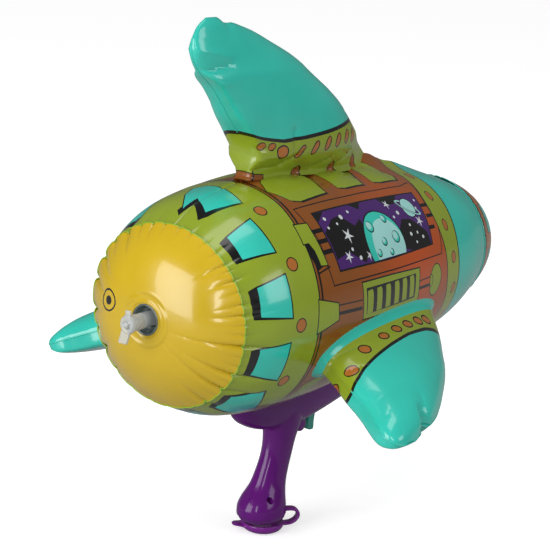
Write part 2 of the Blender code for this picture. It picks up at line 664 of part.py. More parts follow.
def build_piston():
    head, tail = PISTON_X, PISTON_X + PISTON_LENGTH
    middle = (head + tail) / 2
    groove = SEAL_HALF + 0.25
    profile = (
        (head, 0.0), (head, PISTON_R), (middle - groove, PISTON_R), (middle - groove, SEAL_GROOVE_R - 0.3),
        (middle + groove, SEAL_GROOVE_R - 0.3), (middle + groove, PISTON_R), (tail, PISTON_R), (tail, ROD_R),
        (ROD_END_X - 1.2, ROD_R), (ROD_END_X - 0.3, 1.4), (ROD_END_X, 0.0),
    )
    add_object("pump_piston", turned(profile, 20, "X", (0, 0, PUMP_Z)), WHITE, 0.35)
    seal = (
        (middle - SEAL_HALF, SEAL_GROOVE_R), (middle - SEAL_HALF, SEAL_R - 0.2), (middle - 0.3, SEAL_R),
        (middle + 0.3, SEAL_R), (middle + SEAL_HALF, SEAL_R - 0.2), (middle + SEAL_HALF, SEAL_GROOVE_R),
    )
    add_object("piston_seal", turned(seal, 20, "X", (0, 0, PUMP_Z)), RUBBER, 0.6)


def curve_tube(name, points, radius, resolution, colour, metallic=0.0):
    """Round solid along a polyline, as a mesh."""
    curve = bpy.data.curves.new(name, "CURVE")
    curve.dimensions = "3D"
    curve.bevel_depth = radius * MM
    curve.bevel_resolution = resolution
    curve.use_fill_caps = True
    spline = curve.splines.new("POLY")
    spline.points.add(len(points) - 1)
    for target, point in zip(spline.points, points):
        target.co = (*(Vector(point) * MM), 1.0)
    guide = bpy.data.objects.new(name, curve)
    CUTTERS.objects.link(guide)
    bpy.context.view_layer.update()
    mesh = bpy.data.meshes.new_from_object(guide.evaluated_get(bpy.context.evaluated_depsgraph_get()))
    bpy.data.objects.remove(guide, do_unlink=True)
    bm = bmesh.new()
    bm.from_mesh(mesh)
    bpy.data.meshes.remove(mesh)
    bmesh.ops.transform(bm, matrix=Matrix.Scale(1 / MM, 4), verts=bm.verts)
    if colour is None:
        return add_object(name, bm)
    return add_object(name, bm, colour, 0.3, metallic)


def build_spring():
    """Return spring between the cylinder's back wall and the piston."""
    start = PUMP_BACK_X + PUMP_BACK_WALL + SPRING_WIRE_R + 0.2
    end = PISTON_X - SPRING_WIRE_R - 0.2
    count = SPRING_TURNS * SPRING_STEPS
    points = []
    for i in range(count + 1):
        angle = math.tau * i / SPRING_STEPS
        x = start + (end - start) * i / count
        points.append((x, SPRING_R * math.cos(angle), PUMP_Z + SPRING_R * math.sin(angle)))
    curve_tube("return_spring", points, SPRING_WIRE_R, 1, STEEL, 1.0)


def build_balls():
    for name, x, z in (("inlet_ball", INLET_X, INLET_BALL_Z), ("outlet_ball", OUTLET_X, OUTLET_BALL_Z)):
        bm = bmesh.new()
        place = Matrix.Translation((x, 0, z))
        bmesh.ops.create_uvsphere(bm, u_segments=10, v_segments=7, radius=BALL_R, matrix=place)
        add_object(name, bm, STEEL, 0.2, 1.0)


def build_tubes():
    """Intake tube down into the tank, and outlet tube along the barrel to the nozzle."""
    top = INLET_BOTTOM_Z - GAP
    side_step = (TANK_PORT_X - INLET_X) / 2
    down = [(INLET_X, 0, top), (INLET_X, 0, top - side_step), (INLET_X + side_step, 0, top - 2 * side_step)]
    down.extend([(TANK_PORT_X, 0, top - 3 * side_step), (TANK_PORT_X, 0, TANK_TOP_Z - 5.0), INTAKE_FOOT])
    reach = OUTLET_TUBE_REACH
    slope = (NOZZLE_Z - OUTLET_TUBE_Z) / 2
    ahead = [(OUTLET_X + CHECK_R + GAP, 0, OUTLET_TUBE_Z), (reach, 0, OUTLET_TUBE_Z)]
    ahead.extend([(reach + 4.0, 0, OUTLET_TUBE_Z + slope), (reach + 8.0, 0, NOZZLE_Z)])
    ahead.append((OUTLET_TUBE_END_X, 0, NOZZLE_Z))
    for name, path in (("intake_tube", down), ("outlet_tube", ahead)):
        first, last = Vector(path[0]), Vector(path[-1])
        before = first - (Vector(path[1]) - first).normalized()
        after = last + (last - Vector(path[-2])).normalized()
        tube = curve_tube(name, path, TUBE_R, 3, CLEAR)
        bore = curve_tube(f"cut_{name}", [before, *path, after], TUBE_BORE, 2, None)
        boolean(tube, "DIFFERENCE", bore)


def build_nozzle():
    """Moulded jet, trapped behind the barrel's front wall."""
    wall_x = BODY_FRONT_X - HOUSING_WALL
    profile = (
        (219.6, 2.1), (219.6, 5.8), (wall_x - GAP, 5.8), (wall_x - GAP, 4.2), (234.0, 4.2),
        (NOZZLE_TIP_X - 1.0, 3.2), (NOZZLE_TIP_X, 2.4), (NOZZLE_TIP_X, 0.7), (227.0, 0.7), (225.0, 2.1),
    )
    add_object("nozzle", turned(profile, 16, "X", (0, 0, NOZZLE_Z)), PURPLE, 0.25)


def tank_rings(inset):
    """Sections of the tank between its top and its bottom, following the grip's inside."""
    rings = []
    count = 9
    low, high = TANK_BOTTOM_Z + (inset and TANK_WALL), TANK_TOP_Z - (inset and TANK_WALL)
    for i in range(count + 1):
        z = low + (high - low) * i / count
        centre_x, long, wide = grip_at(z)
        close = 1.6 if i in (0, count) else 0.0
        trim = TANK_INSET + inset + close
        rings.append(ellipse_ring(z, centre_x, long - trim, wide - trim))
    return rings


def build_tank():
    tank = add_object("water_tank", loft(tank_rings(0.0)), WHITE, 0.35)
    inside = add_object("cut_tank_inside", loft(tank_rings(TANK_WALL)))
    x, z, _ = SCREW_PLACES[1]
    start, end = (x, -HOUSING_REACH, z), (x, HOUSING_REACH, z)
    around = add_object("cut_tank_boss", rod(SCREW_BOSS_R + 0.5, start, end, 20))
    boss_wall = rod(SCREW_BOSS_R + 0.5 + TANK_WALL, start, end, 20)
    boolean(inside, "DIFFERENCE", add_object("cut_tank_boss_wall", boss_wall))
    neck = rod(NECK_R, (NECK_X, 0, TANK_BOTTOM_Z + 2), (NECK_X, 0, NECK_BOTTOM_Z), 20)
    neck = add_object("cut_neck_outer", neck)
    bore = rod(NECK_BORE, (NECK_X, 0, TANK_BOTTOM_Z + 3), (NECK_X, 0, BELOW_NECK_Z), 20)
    bore = add_object("cut_neck_bore", bore)
    port = rod(TANK_PORT_R, (TANK_PORT_X, 0, TANK_TOP_Z - 4), (TANK_PORT_X, 0, TANK_TOP_Z + 4))
    boolean(tank, "UNION", neck)
    boolean(tank, "DIFFERENCE", around, inside, bore, add_object("cut_tank_port", port))


def build_filler_cap():
    """Soft cap: flat-bottomed disc, plug that fills the neck, and a pull tab at the rear."""
    profile = (
        (CAP_PLUG_TOP_Z, 0.0), (CAP_PLUG_TOP_Z, CAP_PLUG_R - 0.8), (CAP_PLUG_TOP_Z - 1.2, CAP_PLUG_R),
        (CAP_TOP_Z, CAP_PLUG_R), (CAP_TOP_Z, CAP_R - 0.6), (CAP_TOP_Z - 0.6, CAP_R), (CAP_TOP_Z - 3.0, CAP_R),
        (CAP_BOTTOM_Z + 1.2, CAP_R - 1.3), (CAP_BOTTOM_Z, CAP_FLAT_R), (CAP_BOTTOM_Z, 0.0),
    )
    obj = add_object("filler_cap", turned(profile, 28, "Z", (NECK_X, 0, 0)), PURPLE, 0.3)
    tab_x = -CAP_R - 3.5
    tab_low, tab_high = CAP_TOP_Z - 3.0, CAP_TOP_Z - 0.8
    tab = box((tab_x, -TAB_R, tab_low), (-CAP_R + 3.0, TAB_R, tab_high))
    tip = rod(TAB_R, (tab_x, 0, tab_low), (tab_x, 0, tab_high), 20)
    boolean(obj, "UNION", turn_about_neck(add_object("cut_tab_tip", tip)),
            turn_about_neck(add_object("cut_tab_root", tab)))


def build_screws():
    head_top = SCREW_SEAT_OUT + SCREW_HEAD_DEPTH
    profile = (
        (SCREW_TIP_OUT, 0.0), (SCREW_TIP_OUT + 2.0, SCREW_R), (SCREW_SEAT_OUT, SCREW_R),
        (SCREW_SEAT_OUT, SCREW_HEAD_R), (SCREW_SEAT_OUT + 1.0, SCREW_HEAD_R),
        (head_top, SCREW_HEAD_R - 1.0), (head_top, 0.0),
    )
    for i, (x, z, side) in enumerate(SCREW_PLACES):
        head_clear = [(side * (out + GAP), r) for out, r in profile]
        add_object(f"housing_screw_{i + 1}", turned(head_clear, 10, "Y", (x, 0, z)), STEEL, 0.35, 1.0)


clear_scene()
ROCKET = new_collection("inflatable_rocket_pistol")
CUTTERS = new_collection("cutters")
HULL_FRAME = bpy.data.objects.new("hull_frame", None)
HULL_FRAME.location = (-CAP_BASE_X * MM, 0.0, HULL_AXIS_HEIGHT * MM)
ROCKET.objects.link(HULL_FRAME)

build_hull()
build_end_cap("tail_cap", TAIL_X, TAIL_R, TAIL_DOME, -1, TAIL_CAP_HOLE_R, YELLOW)
build_end_cap("nose_cap", NOSE_X, NOSE_R, NOSE_DOME, 1, 0.0, TEAL)
for fin_name, fin_sign in (("starboard", 1), ("port", -1)):
    build_side_fin(fin_name, fin_sign)
    build_fin_base(fin_name, fin_sign)
build_valve()
build_tabs()
build_housing()
build_trigger()
build_pump_cylinder()
build_piston()
build_spring()
build_balls()
build_tubes()
build_nozzle()
build_tank()
build_filler_cap()
build_strap()
build_screws()
bpy.context.view_layer.update()
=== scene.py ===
"""Looks of the inflatable rocket and its hand pump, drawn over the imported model.

Sizes are millimetres in the hull frame: X along the hull's axis towards the nose, Z up, and
zero at the widest part of the tail. Printed film is made as sheets: a flat drawing is cut
into triangles, and each corner is then carried onto the inflated surface, so that printed
edges stay sharp and follow the film.
"""
import math

import bpy
import bmesh
import numpy as np
from mathutils import Matrix, Vector, geometry


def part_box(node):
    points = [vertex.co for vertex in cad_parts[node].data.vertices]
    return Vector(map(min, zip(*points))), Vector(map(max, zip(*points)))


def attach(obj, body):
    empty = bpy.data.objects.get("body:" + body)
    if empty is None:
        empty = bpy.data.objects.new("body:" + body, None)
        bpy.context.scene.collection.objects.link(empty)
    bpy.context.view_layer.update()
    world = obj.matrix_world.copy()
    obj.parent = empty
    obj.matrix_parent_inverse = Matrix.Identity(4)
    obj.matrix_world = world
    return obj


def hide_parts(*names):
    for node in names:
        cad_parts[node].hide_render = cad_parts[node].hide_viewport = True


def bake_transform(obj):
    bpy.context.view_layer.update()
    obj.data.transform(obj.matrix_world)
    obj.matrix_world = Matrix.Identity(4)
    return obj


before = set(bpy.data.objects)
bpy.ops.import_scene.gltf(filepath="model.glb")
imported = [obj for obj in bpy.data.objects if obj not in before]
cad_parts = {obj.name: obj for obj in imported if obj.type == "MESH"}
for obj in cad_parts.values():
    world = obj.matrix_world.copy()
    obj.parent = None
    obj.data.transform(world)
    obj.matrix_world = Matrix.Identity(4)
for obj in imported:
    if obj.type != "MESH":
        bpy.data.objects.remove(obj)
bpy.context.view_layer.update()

MM = 0.001
ROCKET = "rocket"
SIDES = ((1, "starboard"), (-1, "port"))

# Inflated hull: (x, radius) of the printed sides, and how far the two ends bulge
HULL_STATIONS = (
    (-63.8, 78.9), (-36.0, 91.5), (0.0, 98.4), (58.0, 100.5), (117.0, 98.5),
    (180.0, 93.5), (240.0, 86.5), (291.0, 78.0), (335.3, 65.3),
)
TAIL_X, TAIL_R = HULL_STATIONS[0]
NOSE_X, NOSE_R = HULL_STATIONS[-1]
TAIL_GAP = 0.3
TAIL_BULGE, NOSE_BULGE = 29.5, 54.5
TAIL_POWER, NOSE_POWER = 2.9, 4.2
NOSE_DRIFT_Y, NOSE_DRIFT_Z = -5.0, -2.5
VALVE_HOLE_R = 13.2
GIRTH_R = 100.0
DEG = GIRTH_R * math.pi / 180

# Fins: (height, rear x, front x, half thickness) rows, from the root to the tip
TOP_FIN_ROWS = (
    (80.0, 27.0, 236.0, 14.0), (96.0, 27.0, 226.0, 14.0), (103.0, 25.5, 216.0, 17.5),
    (111.0, 24.5, 203.0, 22.5), (122.0, 24.5, 189.0, 27.0), (130.0, 22.0, 181.0, 27.0),
    (139.0, 16.0, 173.0, 26.0), (153.0, 3.0, 159.0, 25.0), (168.0, -10.0, 138.0, 23.0),
    (183.0, -25.0, 113.0, 20.5), (192.0, -37.0, 99.0, 18.5), (198.0, -43.0, 88.0, 16.0),
    (212.0, -49.0, 55.0, 11.0), (224.0, -46.5, 24.0, 7.0), (232.0, -40.0, -4.0, 4.0),
    (236.0, -33.0, -20.0, 1.2),
)
SIDE_FIN_ROWS = (
    (84.0, 28.0, 214.0, 18.5), (102.0, 27.0, 200.0, 19.0), (118.0, 23.0, 184.0, 20.5),
    (140.0, 15.0, 157.0, 21.5), (160.0, 8.0, 132.0, 21.0), (178.0, -2.0, 101.0, 19.0),
    (189.0, -8.0, 80.0, 16.5), (198.0, -9.0, 58.0, 12.0), (205.0, -5.0, 28.0, 6.0),
    (208.0, 0.0, 16.0, 1.5),
)
SIDE_FIN_TURN = math.radians(112.9)
FIN_LONG = 190.0
# How blunt a fin's edges are (small is blunt)
TOP_REAR_POWER, TIP_REAR_POWER, FIN_FRONT_POWER = 0.36, 0.95, 1.15
SIDE_REAR_POWER = {1: 0.95, -1: 0.3}
TOP_FOOT_POWER, SIDE_FOOT_POWER = 2.4, 0.6
# Heights over which the bluntness changes: below the foot's top, and above the tip's start
FOOT_TOP, FOOT_EASE = 128.0, 24.0
TIP_FROM, TIP_EASE = 184.0, 22.0
# Rise above the root at which a fin no longer follows the hull
FREE_RISE = 30.0
PORT_BULGE, PORT_BULGE_AT, PORT_BULGE_TALL = 6.0, 138.0, 24.0
# Height at which a fin's edge weld changes colour
FIN_BORDER = 140.0
TOP_ROOT, SIDE_ROOT = 98.5, 99.5
TOP_FLARE, SIDE_FLARE = 5.0, 11.0

# Pistol: body (x, lowest z, half width) and grip (z, centre x, fore-aft half, side half)
BODY_STATIONS = (
    (26.5, -106.0, 6.0), (29.5, -111.5, 9.0), (35.0, -117.5, 12.0), (45.0, -123.8, 14.0),
    (58.0, -129.5, 15.0), (75.0, -134.0, 15.5), (100.0, -137.0, 15.5), (126.0, -138.0, 15.5),
    (150.0, -135.5, 15.0), (190.0, -129.5, 14.5), (226.0, -123.5, 14.0), (230.0, -120.5, 12.5),
)
BODY_TOP, BODY_ROUND = -80.0, 26.0
BODY_SQUARE = 0.85
GRIP_STATIONS = (
    (-219.0, 79.2, 22.4, 18.9), (-217.4, 78.8, 23.6, 19.8), (-216.2, 78.5, 23.4, 19.6),
    (-215.0, 78.2, 24.7, 20.7), (-210.5, 77.5, 25.0, 20.9), (-206.0, 77.5, 24.8, 20.6),
    (-200.0, 79.0, 23.3, 18.9), (-189.0, 84.6, 19.9, 14.9), (-175.0, 90.7, 18.2, 12.9),
    (-164.0, 95.2, 17.8, 12.4), (-150.0, 99.0, 18.5, 12.8), (-138.0, 101.4, 20.2, 14.6),
    (-130.0, 103.0, 22.5, 15.2), (-120.0, 104.0, 26.0, 14.6),
)
# Round lugs behind the trigger, and the trigger's slot
CHEEK_X, CHEEK_Z, CHEEK_R, CHEEK_HALF, CHEEK_ROUND = 124.0, -140.5, 6.8, 7.8, 1.5
SLOT_X, SLOT_HALF, SLOT_Z, SLOT_ROOF = (119.0, 158.0), 3.7, (-160.0, -112.0), -131.0
# Each half's gap to the seam plane, and the depth in the hull below which its skin is left out
HALF_GAP, HIDDEN_DEPTH = 0.06, 4.0
SCREW_R, SCREW_SEAT = 3.0, 7.0

# Filler cap and its strap
CAP_R, CAP_TOP, CAP_BOTTOM = 19.3, -222.9, -231.0
NECK_X, NECK_BORE, CAP_TURN = 80.5, 9.5, math.radians(-40.0)
# Section of the cap's pull tab: (distance out, half width, middle z, half thickness)
CAP_TAB = (
    (12.0, 9.5, -226.6, 2.6), (18.0, 8.6, -226.0, 2.0), (21.0, 7.0, -225.6, 1.6),
    (24.0, 6.2, -225.2, 1.4), (26.8, 5.0, -225.0, 1.3), (28.4, 2.8, -225.0, 0.9),
)
# Middle line of the strap: (distance out, z)
STRAP_LOOP = (
    (16.5, -226.2), (21.0, -226.4), (26.0, -225.6), (30.2, -223.2), (32.6, -219.4),
    (32.0, -215.6), (28.8, -213.0), (24.0, -212.4), (19.5, -212.8), (16.5, -212.8),
)
STRAP_THICK, STRAP_WIDE = 3.0, 8.0

# Nozzle's hole in the pistol: (x from, x to), z and radius
MUZZLE_X, MUZZLE_Z, MUZZLE_BORE = (226.0, 240.0), -109.0, 4.6

# Inflation valve: (x, radius) profiles, and the tether tab on the plug
CUP_RIM = TAIL_X - TAIL_GAP - 30.0 + 0.4
CUP_PROFILE = (
    (CUP_RIM + 0.2, 11.2), (CUP_RIM - 0.6, 11.8), (CUP_RIM - 0.4, 12.8), (CUP_RIM + 1.2, 13.4),
    (CUP_RIM + 3.0, 13.0), (-84.0, 12.6), (-83.8, 7.2), (-85.2, 7.0), (-85.8, 8.0), (-86.6, 11.0),
)
STEM_PROFILE = (
    (-111.9, 4.8), (-112.0, 6.2), (-111.4, 6.6), (-109.0, 6.6), (-108.4, 5.8), (-106.6, 5.8),
    (-106.0, 6.6), (-102.0, 6.6), (-101.4, 5.8), (-99.6, 5.8), (-99.0, 6.6), (-80.0, 6.6), (-80.0, 4.8),
)
PLUG_PROFILE = (
    (-104.0, 0.0), (-104.0, 3.9), (-105.0, 4.3), (-112.3, 4.3), (-112.3, 7.4), (-113.2, 7.7),
    (-115.2, 7.5), (-116.3, 6.4), (-116.4, 4.6), (-116.0, 4.2), (-116.2, 3.4), (-118.2, 2.8), (-118.7, 0.0),
)
TAB_X, TAB_HALF, TAB_LEAN, TAB_DOWN = (-115.3, -113.1), 4.4, 5.0, -16.5
GRIP_TAB_HALF, GRIP_TAB_UP = 2.6, 11.5

# Camera, as the photo was taken
CAMERA_AT = (-1.15856, -0.83581, 0.59757)
CAMERA_HEADING, CAMERA_DOWN, CAMERA_ROLL = 35.84, 14.13, 3.12
CAMERA_LENS, CAMERA_SENSOR = 110.06, 36.0

# Studio: lamps as (name, place, size, watts), all aimed at one spot
LAMPS = (
    ("key", (-1.75, 0.40, 0.62), (1.15, 1.4), 24.0),
    ("strip", (-1.5, -0.95, 0.8), (0.22, 0.9), 5.0),
    ("fill", (0.3, -1.9, 1.0), (0.9, 0.9), 7.0),
    ("top", (0.0, -0.1, 2.3), (1.3, 1.0), 9.0),
)
LAMPS_AIM = (0.0, 0.0, 0.22)
SKY_LIGHT, SKY_MIRRORED = 0.55, 0.12
FLOOR_GLOW, FLOOR_SEEN, FLOOR_BOUNCE = 0.5, 0.9, 0.38
FLOOR_REACH, FLOOR_DROP = 12.0, 0.0005

# Film material: noise scales, spread of tint and shine, depth of the ripples
CLOUD_SCALE, WAVE_SCALE = 22.0, 55.0
TINT_SPREAD, SHINE_SPREAD = (0.88, 1.1), (0.75, 1.3)
RIPPLE_DEPTH, COAT_ROUGH = 0.0006, 0.06

RANDOM = np.random.default_rng(12)


# ---------------------------------------------------------------- frame and helpers
def hull_origin():
    """Hull frame's zero in the shared frame, found from the tail cap."""
    low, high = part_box("tail_cap")
    seam = high.x - (TAIL_X - TAIL_GAP) * MM
    return np.array((seam, (low.y + high.y) / 2, (low.z + high.z) / 2))


ORIGIN = hull_origin()


def placed(points):
    return np.asarray(points, float) * MM + ORIGIN


def curve(stations):
    """Smooth function through (place, value) stations, level beyond its ends."""
    places, values = np.array(stations, float).T
    slopes = np.gradient(values, places)

    def at(x):
        x = np.clip(x, places[0], places[-1])
        i = np.clip(np.searchsorted(places, x) - 1, 0, len(places) - 2)
        width = places[i + 1] - places[i]
        t = (x - places[i]) / width
        ends = (2 * t**3 - 3 * t**2 + 1) * values[i] + (3 * t**2 - 2 * t**3) * values[i + 1]
        return ends + ((t**3 - 2 * t**2 + t) * slopes[i] + (t**3 - t**2) * slopes[i + 1]) * width

    return at


def column(rows, index):
    return curve([(row[0], row[index]) for row in rows])


def unit(v):
    return v / np.maximum(np.linalg.norm(v, axis=-1, keepdims=True), 1e-9)


def smooth(t):
    t = np.clip(t, 0.0, 1.0)
    return t * t * (3 - 2 * t)


hull_radius = curve(HULL_STATIONS)


# ---------------------------------------------------------------- materials
def feed(tree, socket, value):
    """Links an input to a node's output, or sets it to a value."""
    if isinstance(value, bpy.types.NodeSocket):
        tree.links.new(value, socket)
    else:
        socket.default_value = value


def added(tree, kind, *inputs, **settings):
    """New shader node; inputs are (name or number, output or value) pairs."""
    node = tree.nodes.new(f"ShaderNode{kind}")
    for key, value in settings.items():
        setattr(node, key, value)
    for key, value in inputs:
        feed(tree, node.inputs[key], value)
    return node


def mixed(tree, share, first, second):
    inputs = ("Factor", share), ("A", first), ("B", second)
    return added(tree, "Mix", *inputs, data_type="RGBA").outputs["Result"]


def ranged(tree, value, low, high):
    """Value that moves from low to high with a node's output; low may itself be one."""
    return added(tree, "MapRange", ("Value", value), ("To Min", low), ("To Max", high)).outputs["Result"]


def noise(tree, place, scale, detail):
    inputs = ("Scale", scale), ("Detail", detail), ("Vector", place)
    return added(tree, "TexNoise", *inputs).outputs["Fac"]


def dyed(material, *inputs):
    """Sets inputs of a material's shader, as (name, output or value) pairs."""
    tree = material.node_tree
    for key, value in inputs:
        feed(tree, tree.nodes["Principled BSDF"].inputs[key], value)
    return material


def film(name, colour, rough=0.2, ripple=0.25, coat=0.5, fade=None):
    """Glossy printed or dyed vinyl: slight colour variation, uneven shine and soft ripples.

    A fade, (centre, (from, to), colour), turns the colour into another with distance.
    """
    material = bpy.data.materials.new(name)
    material.use_nodes = True
    material.diffuse_color = (*colour, 1.0)
    tree = material.node_tree
    place = added(tree, "TexCoord").outputs["Object"]
    cloud = noise(tree, place, CLOUD_SCALE, 4.0)
    tint = mixed(tree, cloud, *[(*[min(c * share, 1.0) for c in colour], 1.0) for share in TINT_SPREAD])
    if fade:
        centre, reach, far = fade
        away = added(tree, "VectorMath", (0, place), (1, centre), operation="DISTANCE")
        span = added(tree, "MapRange", ("Value", away.outputs["Value"]), ("From Min", reach[0]),
                     ("From Max", reach[1]), interpolation_type="SMOOTHSTEP")
        tint = mixed(tree, span.outputs["Result"], tint, (*far, 1.0))
    shine = ranged(tree, cloud, *[rough * share for share in SHINE_SPREAD])
    bump = added(tree, "Bump", ("Strength", ripple), ("Distance", RIPPLE_DEPTH),
                 ("Height", noise(tree, place, WAVE_SCALE, 3.0)))
    return dyed(material, ("Base Color", tint), ("Roughness", shine), ("Normal", bump.outputs["Normal"]),
                ("Coat Weight", coat), ("Coat Roughness", COAT_ROUGH))


def clear_vinyl(name, colour, see_through, rough):
    return dyed(film(name, colour, rough, 0.5, 0.6), ("Transmission Weight", see_through), ("IOR", 1.42))


def metal(name, colour, rough):
    return dyed(film(name, colour, rough, 0.3, 0.0), ("Metallic", 1.0))


GLOW_AT = tuple(placed((170.0, -92.0, 30.0)))
INK = {
    "teal": film("film_teal", (0.028, 0.52, 0.42)),
    "lime": film("film_lime", (0.25, 0.33, 0.018)),
    "orange": film("film_orange", (0.50, 0.075, 0.008),
                   fade=(GLOW_AT, (0.0, 0.125), (0.24, 0.070, 0.008))),
    "rivet": film("film_rivet", (0.40, 0.13, 0.02)),
    "black": film("film_black", (0.004, 0.004, 0.005)),
    "space": film("film_space", (0.060, 0.012, 0.14)),
    "pale": film("film_pale_teal", (0.33, 0.66, 0.62)),
    "white": film("film_white", (0.62, 0.66, 0.68)),
    "yellow": film("film_yellow", (0.55, 0.37, 0.007), rough=0.24, ripple=0.35),
    "edge": film("film_weld_edge", (0.24, 0.42, 0.02), rough=0.25),
}
PURPLE = dyed(film("plastic_purple", (0.11, 0.006, 0.165), rough=0.16, ripple=0.06, coat=0.15),
              ("Specular IOR Level", 0.3))
SOFT_PURPLE = film("vinyl_purple", (0.18, 0.014, 0.24), rough=0.22, ripple=0.2, coat=0.2)
TRIGGER = film("plastic_trigger", (0.008, 0.24, 0.19), rough=0.25, ripple=0.06)
NATURAL = film("plastic_natural", (0.62, 0.62, 0.56), rough=0.35, ripple=0.1, coat=0.1)
RUBBER = film("rubber_seal", (0.02, 0.02, 0.02), rough=0.55, ripple=0.2, coat=0.0)
STEEL = metal("metal_steel", (0.55, 0.55, 0.57), 0.25)
CLEAR = clear_vinyl("vinyl_clear", (0.80, 0.83, 0.82), 0.6, 0.12)
SMOKY = film("vinyl_smoky", (0.085, 0.115, 0.108), rough=0.14, ripple=0.6, coat=0.8)


# ---------------------------------------------------------------- flat drawings
def grown(shape, by):
    """Outline moved outwards by a distance."""
    shape = np.asarray(shape, float)
    ahead = unit(np.roll(shape, -1, 0) - shape)
    behind = np.roll(ahead, 1, 0)
    following = np.roll(shape, -1, 0)
    turn = np.sign(np.sum(shape[:, 0] * following[:, 1] - shape[:, 1] * following[:, 0]))
    before = np.c_[behind[:, 1], -behind[:, 0]] * turn
    after = np.c_[ahead[:, 1], -ahead[:, 0]] * turn
    middle = unit(before + after)
    stretch = by / np.clip(np.sum(middle * after, 1), 0.4, 1.0)
    return shape + middle * stretch[:, None]


def stroke(points, width):
    """Band of even width along a line."""
    points = np.asarray(points, float)
    along = unit(np.gradient(points, axis=0))
    side = np.c_[-along[:, 1], along[:, 0]] * width / 2
    return np.vstack([points + side, (points - side)[::-1]])


def disc(x, a, wide, tall=None, tilt=0.0, corners=22):
    turn = np.linspace(0, math.tau, corners, endpoint=False)
    px, pa = wide * np.cos(turn), (tall or wide) * np.sin(turn)
    c, s = math.cos(tilt), math.sin(tilt)
    return np.c_[x + px * c - pa * s, a + px * s + pa * c]


def star(x, a, size, points=5, tilt=0.3):
    turn = np.arange(2 * points) * math.pi / points + tilt
    reach = np.where(np.arange(2 * points) % 2, size * 0.3, size)
    return np.c_[x + reach * np.cos(turn), a + reach * np.sin(turn)]


class Drawing:
    """Flat shapes in the order they're printed."""

    def __init__(self):
        self.shapes = []

    def paint(self, colour, shape):
        self.shapes.append((colour, np.asarray(shape, float)))

    def edged(self, colour, shape, line=1.4):
        self.paint("black", grown(shape, line))
        self.paint(colour, shape)

    def line(self, points, width=1.2):
        self.paint("black", stroke(points, width))


def dense(shape, step=3.0):
    pieces = []
    for a, b in zip(shape, np.roll(shape, -1, 0)):
        count = max(1, math.ceil(np.linalg.norm(b - a) / step))
        pieces.append(a + (b - a) * (np.arange(count) / count)[:, None])
    return np.vstack(pieces)


def clipped(shape, low, high):
    """The part of a shape inside a rectangle, or None."""
    for axis in (0, 1):
        for limit, keep in ((low[axis], 1), (high[axis], -1)):
            kept = []
            for a, b in zip(shape, np.roll(shape, -1, 0)):
                a_in, b_in = keep * (a[axis] - limit) >= 0, keep * (b[axis] - limit) >= 0
                if a_in:
                    kept.append(a)
                if a_in != b_in:
                    kept.append(a + (b - a) * (limit - a[axis]) / (b[axis] - a[axis]))
            if len(kept) < 3:
                return None
            shape = np.array(kept)
    return shape


def within(points, shape):
    """Which points lie inside a shape."""
    hit = np.zeros(len(points), bool)
    low, high = shape.min(0), shape.max(0)
    near = np.all((points >= low) & (points <= high), axis=1)
    px, py = points[near].T
    inside = np.zeros(len(px), bool)
    for (x0, y0), (x1, y1) in zip(shape, np.roll(shape, -1, 0)):
        if y0 != y1:
            crosses = (y0 > py) != (y1 > py)
            inside ^= crosses & (px < (x1 - x0) * (py - y0) / (y1 - y0) + x0)
    hit[near] = inside
    return hit


def triangulated(low, high, grid, drawing):
    """Triangles that follow every printed edge, and each one's colour."""
    corners = np.array([(low[0], low[1]), (high[0], low[1]), (high[0], high[1]), (low[0], high[1])])
    points, edges, shapes = [np.asarray(grid, float)], [], []
    count = len(points[0])
    outlines = [dense(corners, 1.5)]
    for colour, shape in drawing.shapes:
        cut = clipped(shape, low, high)
        if cut is not None:
            shapes.append((colour, cut))
            outlines.append(dense(cut))
    for outline in outlines:
        number = len(outline)
        edges.extend((count + i, count + (i + 1) % number) for i in range(number))
        points.append(outline)
        count += number
    flat = [Vector(p) for p in np.vstack(points)]
    verts, _, faces, *_ = geometry.delaunay_2d_cdt(flat, edges, [], 0, 1e-3, False)
    uv = np.array([tuple(v) for v in verts])
    faces = np.array([tuple(f) for f in faces])
    on_border = np.zeros(len(faces), bool)
    for axis in (0, 1):
        for limit in (low[axis], high[axis]):
            on_border |= np.all(np.abs(uv[faces][:, :, axis] - limit) < 1e-3, axis=1)
    faces = faces[~on_border]
    middle = uv[faces].mean(1)
    colours = np.full(len(faces), -1)
    for i, (_, shape) in enumerate(shapes):
        colours[within(middle, shape)] = i
    names = [colour for colour, _ in shapes]
    return uv, faces, colours, names


# ---------------------------------------------------------------- sheets and meshes
def face_outwards(mesh):
    """Turns the faces of a closed skin outwards; an open one stays as it is."""
    bm = bmesh.new()
    bm.from_mesh(mesh)
    if not any(edge.is_boundary for edge in bm.edges):
        bmesh.ops.recalc_face_normals(bm, faces=bm.faces)
    bm.to_mesh(mesh)
    bm.free()


def in_scene(name, data):
    obj = bpy.data.objects.new(name, data)
    bpy.context.scene.collection.objects.link(obj)
    return obj


def raw_object(name, points, faces):
    mesh = bpy.data.meshes.new(name)
    mesh.from_pydata(placed(points).tolist(), [], faces)
    face_outwards(mesh)
    return in_scene(name, mesh)


def film_object(name, points, faces, materials, indices=None, normals=None):
    """Smooth film in the shared frame, riding on the rocket."""
    obj = raw_object(name, points, faces)
    mesh = obj.data
    for material in materials:
        mesh.materials.append(material)
    if indices is not None:
        mesh.polygons.foreach_set("material_index", np.asarray(indices, np.int32))
    mesh.shade_smooth()
    if normals is not None:
        mesh.normals_split_custom_set_from_vertices([tuple(n) for n in normals])
    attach(obj, ROCKET)
    return obj


